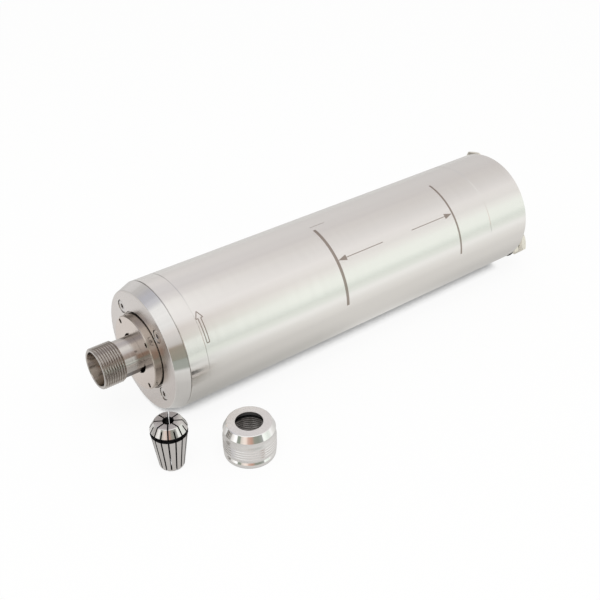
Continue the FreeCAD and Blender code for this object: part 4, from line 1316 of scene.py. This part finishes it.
@dataclass(frozen=True)
class ClampingNut:
    """Round balanced nut with its blackened ring."""

    radius: float = 15.3
    height: float = 22.2
    face_radius: float = 12.9
    cone_foot: float = 18.2
    shoulder: float = 14.95
    waist: float = 14.6
    waist_height: float = 16.2
    foot_radius: float = 14.9
    band_low: float = 5.4
    band_high: float = 12.8
    groove_depth: float = 0.3
    groove_pitch: float = 1.75
    grooves: int = 4
    bevel_top: float = 3.8
    bevel_foot: float = 2.6
    bevel_radius: float = 14.5
    foot_edge: float = 0.5
    face_edge: float = 0.2
    face_break: Pair = (0.25, 0.18)
    thread: Thread = Thread(12.5, 11.75, 1.5, -1)
    thread_steps: int = 14
    thread_length: float = 15.0
    relief: float = 12.8
    hole: float = 7.9
    hole_edge: float = 0.1
    lip: float = 0.5
    ring_radius: float = 10.6
    ring_height: float = 5.2
    ring_lip: float = 0.9
    ring_lip_radius: float = 9.6
    ring_cone_foot: float = 10.2
    ring_top: float = 8.0
    ring_shift: float = 0.3
    columns: int = 180

    def outside(self) -> list[Row]:
        """Outer side, whose waist is a cosine curve between the grooved band and the cone.

        Returns:
            The rows from the foot over the band, the waist and the cone to the top face.
        """
        rows: list[Row] = [
            (0, self.foot_radius - self.foot_edge), (self.foot_edge, self.foot_radius),
            (self.bevel_foot, self.foot_radius + self.face_edge), (self.bevel_top, self.bevel_radius),
            (self.bevel_top + self.foot_edge, self.bevel_radius), (self.band_low, self.radius)]
        for index in range(self.grooves):
            middle = self.band_low + self.groove_pitch * (index + 1)
            rows += [(middle - self.groove_depth, self.radius), (middle, self.radius - self.groove_depth),
                     (middle + self.groove_depth, self.radius)]
        rise = np.linspace(0, 1, 9)
        low_side = self.radius + (self.waist - self.radius) * (1 - np.cos(math.pi * rise)) / 2
        rows += [(self.band_high + (self.waist_height - self.band_high) * part, radius)
                 for part, radius in zip(rise, low_side)]
        high_side = self.waist + (self.shoulder - self.waist) * (1 - np.cos(math.pi / 2 * rise[2::2]))
        rows += [(self.waist_height + (self.cone_foot - self.waist_height) * part, radius)
                 for part, radius in zip(rise[2::2], high_side)]
        return rows + [
            (self.height - self.face_break[0], self.face_radius + self.face_break[1]),
            (self.height, self.face_radius - self.face_edge)]

    def inside(self, angles: np.ndarray) -> list[Row]:
        """Inner side, with the thread's last turn cut back to a cone.

        Args:
            angles: the columns' angles, in radians.

        Returns:
            The rows from the hole in the top face down over the ring's seat, the relief and the thread.
        """
        seat = self.height - self.lip - self.ring_height
        steps = np.arange(self.thread_length, -0.001, -self.thread.pitch / self.thread_steps)
        rows: list[Row] = [
            (self.height, self.hole + self.hole_edge), (self.height - self.hole_edge, self.hole),
            (self.height - self.lip, self.hole), (self.height - self.lip, self.ring_radius),
            (seat, self.ring_radius), (seat, self.relief), (self.thread_length, self.relief)]
        rows += [(step, np.maximum(self.thread.radius(step, angles), self.thread.major - step))
                 for step in steps]
        return rows

    def build(self) -> None:
        """Builds the nut and its ring."""
        own = Lathe(Axis.UPRIGHT, NUT_CENTRE)
        angles = angles_round(self.columns)
        shell = Shell()
        shell.patch(own.turn(self.outside() + self.inside(angles), angles), around=True, closed=True)
        nut = shell.make("round_clamping_nut", 20.0)
        height = middles(nut)[:, 2] - GROUND
        up = facings(nut)[:, 2]
        polished = (up > 0.3) & (up < 0.9) & ((height > self.cone_foot) | (height < self.band_low))
        away = middles(nut)[:, :2] - np.array(NUT_CENTRE[:2])
        # Faces that look inwards take the inside finish, painted darker as shade
        inward = (away * facings(nut)[:, :2]).sum(axis=1) < -0.5
        share_out(nut, np.where(inward, 2, np.where(polished, 0, 1)))
        place(nut, (Stock.POLISHED, Stock.SATIN, Stock.NUT_INSIDE_SHADE), "clamping_nut", "clamping_nut")

        seat = self.height - self.lip - self.ring_height
        low = seat + self.ring_lip
        shifted = self.ring_shift * np.cos(angles) + np.sqrt(
            self.ring_lip_radius ** 2 - (self.ring_shift * np.sin(angles)) ** 2)
        rows = [
            (seat, shifted), (seat, self.ring_radius), (seat + self.ring_height, self.ring_radius),
            (seat + self.ring_height, self.ring_top), (low, self.ring_cone_foot), (low, shifted)]
        turned("blackened_ring", own, rows, angles, Stock.BLACKENED, "clamping_nut", "nut_ring")


@dataclass(frozen=True)
class Stroke:
    """A straight mark on the housing, laid out as if the cylinder were unrolled.

    Args:
        start: (millimetres behind the joint, degrees round the axis) of its start.
        end: the same of its end.
        width: width at the start.
        end_width: width at the end, or None for the same.
    """

    start: Pair
    end: Pair
    width: float
    end_width: Optional[float] = None
    # The mesh's steps round the cylinder, in millimetres
    STEP_ALONG: ClassVar[float] = 1.5
    STEP_ACROSS: ClassVar[float] = 0.8

    def lay(self, shell: Shell, radius: float, depth: float) -> None:
        """Adds the stroke as a thin closed skin.

        The stroke is a ribbon in the plane of (station, radius times angle), rolled onto the cylinder.

        Args:
            shell: takes the patches.
            radius: the skin's outer radius.
            depth: its thickness.
        """
        start = np.array([self.start[0], math.radians(self.start[1]) * radius])
        end = np.array([self.end[0], math.radians(self.end[1]) * radius])
        run = end - start
        steps = max(2, int(abs(run[1]) / self.STEP_ALONG) + 2)
        parts = np.linspace(0, 1, steps)[:, None]
        aside = np.array([-run[1], run[0]]) / np.hypot(*run)
        last = self.width if self.end_width is None else self.end_width
        half = (self.width + (last - self.width) * parts) / 2
        across = np.linspace(-1, 1, 2 + int(max(self.width, last) / self.STEP_ACROSS))
        sides = (start + run * parts)[:, None, :] + aside * half[:, None, :] * across[None, :, None]
        station, angle = JOINT + sides[..., 0], sides[..., 1] / radius
        top = SPINDLE.points(station, radius, angle)
        under = SPINDLE.points(station, radius - depth, angle)
        loop = np.concatenate([top, under[:, ::-1]], axis=1)
        shell.patch(loop, around=True)
        shell.polygon(loop[0])
        shell.polygon(loop[-1])


@dataclass(frozen=True)
class LaserMarks:
    """The marks burnt on the jacket: two rings, the dimension arrow between them and the arrow for rotation.

    Places are (millimetres behind the joint, degrees round the axis).
    """

    proud: float = 0.012
    depth: float = 0.03
    line: float = 0.5
    fine_line: float = 0.35
    outline: float = 0.6
    front_ring: float = 115.0
    front_span: Pair = (82.5, 2.5)
    front_width: float = 2.1
    rear_ring: float = 215.0
    rear_span: Pair = (82.6, 3.2)
    rear_width: float = 1.5
    tick: Triple = (-0.6, 10.6, 87.6)
    arrow_angle: float = 45.0
    arrow_gaps: Pair = (0.9, 0.8)
    arrow_head: Pair = (6.5, 3.8)
    arrow_point: float = 0.05
    break_in_line: Pair = (152.6, 177.7)
    sense_middle: float = 14.6
    sense_angles: Triple = (24.0, 45.0, 51.0)
    sense_shaft: float = 0.9
    sense_head: float = 2.3

    def strokes(self) -> list[Stroke]:
        """Lays out the marks.

        Returns:
            Every stroke of them.
        """
        front, rear, across = self.front_ring, self.rear_ring, self.arrow_angle
        first, last = front + self.arrow_gaps[0], rear - self.arrow_gaps[1]
        head, head_width = self.arrow_head
        tick_start, tick_end, tick_angle = self.tick
        marks = [
            Stroke((front, self.front_span[0]), (front, self.front_span[1]), self.front_width),
            Stroke((rear, self.rear_span[0]), (rear, self.rear_span[1]), self.rear_width),
            Stroke((front + tick_start, tick_angle), (front + tick_end, tick_angle), self.fine_line),
            Stroke((first, across), (first + head, across), self.arrow_point, head_width),
            Stroke((last, across), (last - head, across), self.arrow_point, head_width),
            Stroke((first + head, across), (self.break_in_line[0], across), self.line),
            Stroke((self.break_in_line[1], across), (last - head, across), self.line)]
        tail, shoulder, tip = self.sense_angles
        corners = [
            (0, tip), (-self.sense_head, shoulder), (-self.sense_shaft, shoulder), (-self.sense_shaft, tail),
            (self.sense_shaft, tail), (self.sense_shaft, shoulder), (self.sense_head, shoulder), (0, tip)]
        corners = [(self.sense_middle + aside, angle) for aside, angle in corners]
        return marks + [Stroke(start, end, self.outline) for start, end in zip(corners, corners[1:])]

    def build(self) -> None:
        """Builds the marks as one thin piece."""
        shell = Shell()
        for stroke in self.strokes():
            stroke.lay(shell, HOUSING_RADIUS + self.proud, self.depth)
        place(shell.make("laser_marks"), (Stock.MARK,), "housing")


class Inside:
    """Dresses the CAD nodes that stay, by the record's material slots."""

    FINISHES = {
        "bearing_steel": Stock.BEARING,
        "brass": Stock.BRASS,
        "turned_steel": Stock.TURNED,
        "sleeve_aluminium": Stock.SLEEVE,
        "cast_aluminium": Stock.CAGE,
        "lamination_steel": Stock.SHEETS,
        "enamelled_copper": Stock.COPPER,
        "seal_rubber": Stock.RUBBER,
        "nickel_plated_brass": Stock.NICKEL,
    }

    def dress(self) -> None:
        """Gives each shown CAD node its finish."""
        for name, held in frame["nodes"].items():
            if held.hide_render:
                continue
            material = self.FINISHES[RECORD_SLOTS[name]].make()
            if held.material_slots:
                for slot in held.material_slots:
                    slot.material = material
            else:
                held.data.materials.append(material)
            LOG.info("%s keeps its CAD mesh", name)


@dataclass(frozen=True)
class Studio:
    """Floor, sky, lamp and camera.

    Places in the floor's material are in metres, and its colours and the tent's are sRGB.
    """

    eye: Triple = (-369.85, -403.36, 327.81)
    aim: Triple = (-63.968, -8.892, -5.093)
    lens: float = 56.20
    sensor: float = 36.0
    clip: Pair = (0.01, 50.0)
    floor_size: float = 8000.0
    floor_gap: float = 0.02
    paper: str = "F4F4F2"
    # What metal sees of the floor, from 0.3 m behind the axis to 0.5 m in front of it; its darker stops are
    # painted shade and painted dark reflection
    ahead_span: Pair = (0.3, -0.5)
    ahead_stops: Stops = (
        (0.0, "D8D6D5"), (0.15, "D8D6D5"), (0.2, "FFFFFF"), (0.34, "FFFFFF"), (0.375, "E8E5E3"),
        (0.4, "F0EFED"), (0.42, "DCDAD8"), (0.47, "DEDCDA"), (0.485, "E8E6E4"), (0.53, "F0EFED"),
        (0.58, "FFFFFF"), (0.66, "FFFFFF"), (0.71, "F2F7F2"), (1.0, "EEF4EE"))
    # A grey corner of painted shade in what metal sees, under the tent's opening, to the left of one place
    # and in front of another
    corner_left: Pair = (-0.085, -0.105)
    corner_ahead: Pair = (-0.15, -0.2)
    corner_shade_colour: str = "A5ACA3"
    # The whole floor grows brighter along the spindle
    shade_span: Pair = (-0.14, -0.02)
    shade_levels: Pair = (0.82, 1.03)
    # The strip under the body, which gets less light, along the spindle and across it
    strip_span: Pair = (-0.188, 0.12)
    strip_stops: Stops = (
        (0.0, "FFFFFF"), (0.05, "FFFFFF"), (0.1, "CECECD"), (0.2, "D4D4D3"), (0.31, "D8D8D7"),
        (0.43, "DFDFDE"), (0.54, "F7F7F7"), (0.63, "F9F9F9"), (0.74, "EBEBEB"), (0.86, "DEDEDE"),
        (1.0, "DCDCDC"))
    strip_front: Pair = (-0.056, -0.025)
    strip_back: Pair = (-0.01, -0.022)
    # The short shadow: how near the object closes a spot of floor in, and from where that darkens it
    shadow_reach: float = 0.012
    shadow_span: Pair = (0.09, 0.36)
    # How much of the floor's look is its own light, for what is seen and for what metal reflects
    seen_share: float = 0.9
    metal_share: float = 0.85
    # The tent over the angle round X, level in front to level behind: beside the body, the nose, the cover
    body_stops: Stops = (
        (0.0, "E4EBE5"), (0.05, "F6FBF6"), (0.15, "FAFEFA"), (0.2, "F2F2F0"), (0.27, "ECEAE9"),
        (0.36, "ECE9E9"), (0.45, "DEDBDB"), (0.58, "D6D2D1"), (0.68, "D2CECE"), (0.8, "D6D3D3"),
        (0.9, "D2CFCF"), (1.0, "CECBCB"))
    nose_stops: Stops = (
        (0.0, "6E7368"), (0.06, "78746A"), (0.12, "88796D"), (0.2, "9E8C83"), (0.27, "B2A49E"),
        (0.33, "DAD8DA"), (0.44, "FFFFFF"), (0.53, "FFFFFF"), (0.6, "DAD7DA"), (0.7, "CFCDD2"),
        (0.82, "DEDADB"), (1.0, "D6D2D1"))
    cover_stops: Stops = (
        (0.0, "B4B8B2"), (0.06, "B8B8B5"), (0.12, "C2BFBC"), (0.2, "CECBC9"), (0.27, "DCD8D6"),
        (0.33, "E4E4E4"), (0.44, "ECECEC"), (0.53, "EAEAEA"), (0.6, "C6C6CC"), (0.7, "B4B4BC"),
        (0.8, "BCBABA"), (0.9, "C4C2C1"), (1.0, "C6C3C2"))
    # The tent's opening over the angle round Z
    opening_stops: Stops = (
        (0.12, "807E7C"), (0.2, "D9D6D3"), (0.24, "FFFFFF"), (0.258, "FFFFFF"), (0.27, "8C9288"),
        (0.298, "8C9288"), (0.31, "CFC7BF"), (0.345, "EBDED6"), (0.37, "E4D2C8"), (0.385, "C6AB9F"),
        (0.42, "B89385"), (0.44, "A99385"), (0.455, "8F9085"), (0.5, "898D84"), (0.55, "9A9D9A"),
        (0.56, "FFFFFF"), (0.62, "FFFFFF"), (0.66, "E0E0E0"), (0.75, "CDCBCB"))
    # Where one part of the tent gives way to the next, by the direction's share along X and its height
    nose_edge: Pair = (0.08, 0.22)
    body_edge: Pair = (0.36, 0.39)
    opening_top: Pair = (0.33, 0.44)
    # The tent's level: a little uneven over its height, and less bright far along the body
    uneven_scale: float = 7.0
    uneven_levels: Pair = (1.12, 1.19)
    far_span: Pair = (0.42, 0.7)
    far_levels: Pair = (1.05, 0.93)
    plain_level: float = 0.8

    def camera(self) -> None:
        """The photograph's camera, fitted from the spindle's rims."""
        data = bpy.data.cameras.new("camera")
        data.lens = self.lens
        data.sensor_width = self.sensor
        data.clip_start, data.clip_end = self.clip
        camera = bpy.data.objects.new("camera", data)
        eye, aim = Vector(self.eye) * MM, Vector(self.aim) * MM
        camera.location = eye
        camera.rotation_euler = (aim - eye).to_track_quat("-Z", "Y").to_euler()
        bpy.context.scene.collection.objects.link(camera)
        bpy.context.scene.camera = camera

    def floor(self) -> None:
        """White table: the camera sees it lit evenly, with the object's soft shadow.

        What metal sees of it is painted: a ramp over the distance in front of the spindle, whose darker stops
        are painted shade, with a grey corner of painted shade at the front left. Under the body that is
        multiplied by a ramp along the spindle.
        """
        half = self.floor_size / 2
        shell = Shell()
        across = np.linspace(-half, half, 9)
        shell.patch(np.stack(np.broadcast_arrays(across[:, None], across, GROUND - self.floor_gap), axis=-1))
        table = shell.make("floor")
        material = bpy.data.materials.new("white_table_paper")
        material.use_nodes = True
        tree = material.node_tree
        tree.nodes.remove(tree.nodes["Principled BSDF"])
        spot = node(tree, "TexCoord").outputs["Object"]
        right, ahead, _ = node(tree, "SeparateXYZ", inputs={0: spot}).outputs
        near = node(tree, "AmbientOcclusion", {"samples": 8}, {"Distance": self.shadow_reach}).outputs["AO"]

        shares = {}
        for name, value, span, levels, kind in (
                ("ahead", ahead, self.ahead_span, (0.0, 1.0), None),
                ("left", right, self.corner_left, (0.0, 1.0), SMOOTH),
                ("far", ahead, self.corner_ahead, (0.0, 1.0), SMOOTH),
                ("shade", right, self.shade_span, self.shade_levels, None),
                ("along", right, self.strip_span, (0.0, 1.0), None),
                ("front", ahead, self.strip_front, (0.0, 1.0), None),
                ("back", ahead, self.strip_back, (0.0, 1.0), None),
                ("open", near, self.shadow_span, (0.0, 1.0), None)):
            shares[name] = node(tree, "MapRange", kind, {
                "Value": value, "From Min": span[0], "From Max": span[1], "To Min": levels[0],
                "To Max": levels[1]}).outputs[0]

        shone = node(tree, "ValToRGB", inputs={0: shares["ahead"]}, stops=self.ahead_stops).outputs[0]
        # Painted shade: the grey corner darkens what metal sees at the front left
        corner = node(tree, "Math", TIMES, {0: shares["left"], 1: shares["far"]}).outputs[0]
        shone = node(tree, "Mix", COLOURS, {0: corner, 6: shone, 7: grown(self.corner_shade_colour)}).outputs[2]
        under = node(tree, "ValToRGB", inputs={0: shares["along"]}, stops=self.strip_stops).outputs[0]
        strip = node(tree, "Math", TIMES, {0: shares["front"], 1: shares["back"]}).outputs[0]
        shone = node(tree, "Mix", COLOURS | {"blend_type": "MULTIPLY"}, {
            0: strip, 6: shone, 7: under}).outputs[2]
        rays = node(tree, "LightPath").outputs
        seen = node(tree, "Math", LARGER, {
            0: rays["Is Camera Ray"], 1: rays["Is Transmission Ray"]}).outputs[0]
        seen = node(tree, "Math", TIMES, {0: seen, 1: self.seen_share}).outputs[0]
        metal = node(tree, "Math", TIMES, {0: rays["Is Glossy Ray"], 1: self.metal_share}).outputs[0]
        paper = node(tree, "BsdfDiffuse", inputs={"Color": grown(self.paper)}).outputs[0]
        white = node(tree, "Emission", inputs={"Color": (1, 1, 1, 1), "Strength": shares["open"]}).outputs[0]
        tinted = node(tree, "Emission", inputs={"Color": shone, "Strength": shares["shade"]}).outputs[0]
        mixed = node(tree, "MixShader", inputs={0: seen, 1: paper, 2: white}).outputs[0]
        mixed = node(tree, "MixShader", inputs={0: metal, 1: mixed, 2: tinted}).outputs[0]
        tree.links.new(mixed, tree.nodes["Material Output"].inputs["Surface"])
        table.data.materials.append(material)

    def sky(self) -> None:
        """White surroundings, and the inside of a light tent in what metal reflects.

        Its panels run along the spindle, so the tent's brightness mostly follows the angle round X of a
        direction, 0 level in front and a half turn level behind. Towards the nose's side the panels have
        more contrast, and low down there the tent is open. What shows there is darker and warmer, and
        follows the direction's angle round Z, 0 in front and a quarter turn towards +X.
        """
        world = bpy.data.worlds.new("light_tent")
        bpy.context.scene.world = world
        world.use_nodes = True
        tree = world.node_tree
        tree.nodes.clear()
        direction = node(tree, "TexCoord").outputs["Generated"]
        right, back, up = node(tree, "SeparateXYZ", inputs={0: direction}).outputs
        front = node(tree, "Math", TIMES, {0: back, 1: -1.0}).outputs[0]
        round_x = node(tree, "Math", {"operation": "ARCTAN2"}, {0: up, 1: front}).outputs[0]
        round_z = node(tree, "Math", {"operation": "ARCTAN2"}, {0: right, 1: front}).outputs[0]
        uneven = node(tree, "TexNoise", {"noise_dimensions": "1D"}, {
            "W": round_x, "Scale": self.uneven_scale, "Detail": 2.0}).outputs["Fac"]

        shares = {}
        for name, value, span, levels, kind in (
                ("pitch", round_x, (0.0, math.pi), (0.0, 1.0), None),
                ("yaw", round_z, (-math.pi, math.pi), (0.0, 1.0), None),
                ("nose", right, self.nose_edge, (0.0, 1.0), SMOOTH),
                ("body", right, self.body_edge, (0.0, 1.0), SMOOTH),
                ("off_body", right, self.body_edge, (1.0, 0.0), SMOOTH),
                ("low", up, self.opening_top, (1.0, 0.0), SMOOTH),
                ("level", uneven, (0.3, 0.7), self.uneven_levels, None),
                ("far", right, self.far_span, self.far_levels, None)):
            shares[name] = node(tree, "MapRange", kind, {
                "Value": value, "From Min": span[0], "From Max": span[1], "To Min": levels[0],
                "To Max": levels[1]}).outputs[0]

        body, nose, cover, opening = (
            node(tree, "ValToRGB", inputs={0: shares[share]}, stops=stops).outputs[0]
            for share, stops in (("pitch", self.body_stops), ("pitch", self.nose_stops),
                                 ("pitch", self.cover_stops), ("yaw", self.opening_stops)))
        opened = node(tree, "Math", TIMES, {0: shares["off_body"], 1: shares["low"]}).outputs[0]
        tent = node(tree, "Mix", COLOURS, {0: shares["nose"], 6: cover, 7: nose}).outputs[2]
        tent = node(tree, "Mix", COLOURS, {0: shares["body"], 6: tent, 7: body}).outputs[2]
        tent = node(tree, "Mix", COLOURS, {0: opened, 6: tent, 7: opening}).outputs[2]
        level = node(tree, "Math", TIMES, {0: shares["level"], 1: shares["far"]}).outputs[0]
        tent, plain, white = (
            node(tree, "Background", inputs={"Color": colour, "Strength": strength}).outputs[0]
            for colour, strength in ((tent, level), ((1, 1, 1, 1), self.plain_level), ((1, 1, 1, 1), 1.0)))
        rays = node(tree, "LightPath").outputs
        seen = node(tree, "Math", LARGER, {
            0: rays["Is Camera Ray"], 1: rays["Is Transmission Ray"]}).outputs[0]
        first = node(tree, "MixShader", inputs={0: rays["Is Glossy Ray"], 1: plain, 2: tent}).outputs[0]
        both = node(tree, "MixShader", inputs={0: seen, 1: first, 2: white}).outputs[0]
        node(tree, "OutputWorld", inputs={"Surface": both}).is_active_output = True

    def lamp(self, name: str, place_mm: Triple, size: Pair, power: float) -> None:
        """A soft panel lamp that points at the middle of the spindle and isn't seen in the metal.

        Args:
            name: the lamp's name.
            place_mm: where it hangs.
            size: its width and height, in metres.
            power: its power, in watts.
        """
        data = bpy.data.lights.new(name, "AREA")
        data.shape = "RECTANGLE"
        data.size, data.size_y = size
        data.energy = power
        lamp = bpy.data.objects.new(name, data)
        lamp.location = Vector(place_mm) * MM
        lamp.rotation_euler = (-lamp.location).to_track_quat("-Z", "Y").to_euler()
        bpy.context.scene.collection.objects.link(lamp)
        lamp.visible_glossy = False

    def build(self) -> None:
        """Sets the scene up."""
        bpy.context.scene.view_settings.view_transform = "Standard"
        self.camera()
        self.floor()
        self.sky()
        self.lamp("panel_above", place_mm=(-300.0, -500.0, 1400.0), size=(1.4, 1.0), power=8.0)


def main() -> None:
    """Builds the scene."""
    logging.basicConfig(level=logging.INFO, format="%(message)s")
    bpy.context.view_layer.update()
    Studio().build()
    Housing().build()
    SocketScrews(
        name="cover_screws", replaced="front_cover_screws", seat=JOINT - 4.0, out=-1,
        circle=Housing.screw_circle, first=HOLE_TURN, head_radius=3.8, head_height=4.3, key_radius=1.73,
        key_depth=2.0, shank=2.0, reach=10.0).build()
    SocketScrews(
        name="end_plate_screws", replaced="terminal_plate_screws", seat=REAR_FACE - 2.4, out=1,
        circle=Housing.plate_screw_circle, first=Housing.plate_screw_angle, head_radius=2.25, head_height=2.4,
        key_radius=1.15, key_depth=1.3, shank=1.25, reach=5.0).build()
    Rotor().build()
    HoseFitting(
        "inlet", Housing.port_angle, corner=73.5, washer_radius=7.4, body_flats=14.0, nut_start=9.4).build()
    HoseFitting("outlet", Housing.port_angle - 180.0).build()
    CableSocket().build()
    Collet().build()
    ClampingNut().build()
    LaserMarks().build()
    Inside().dress()


if __name__ == "__main__":
    main()
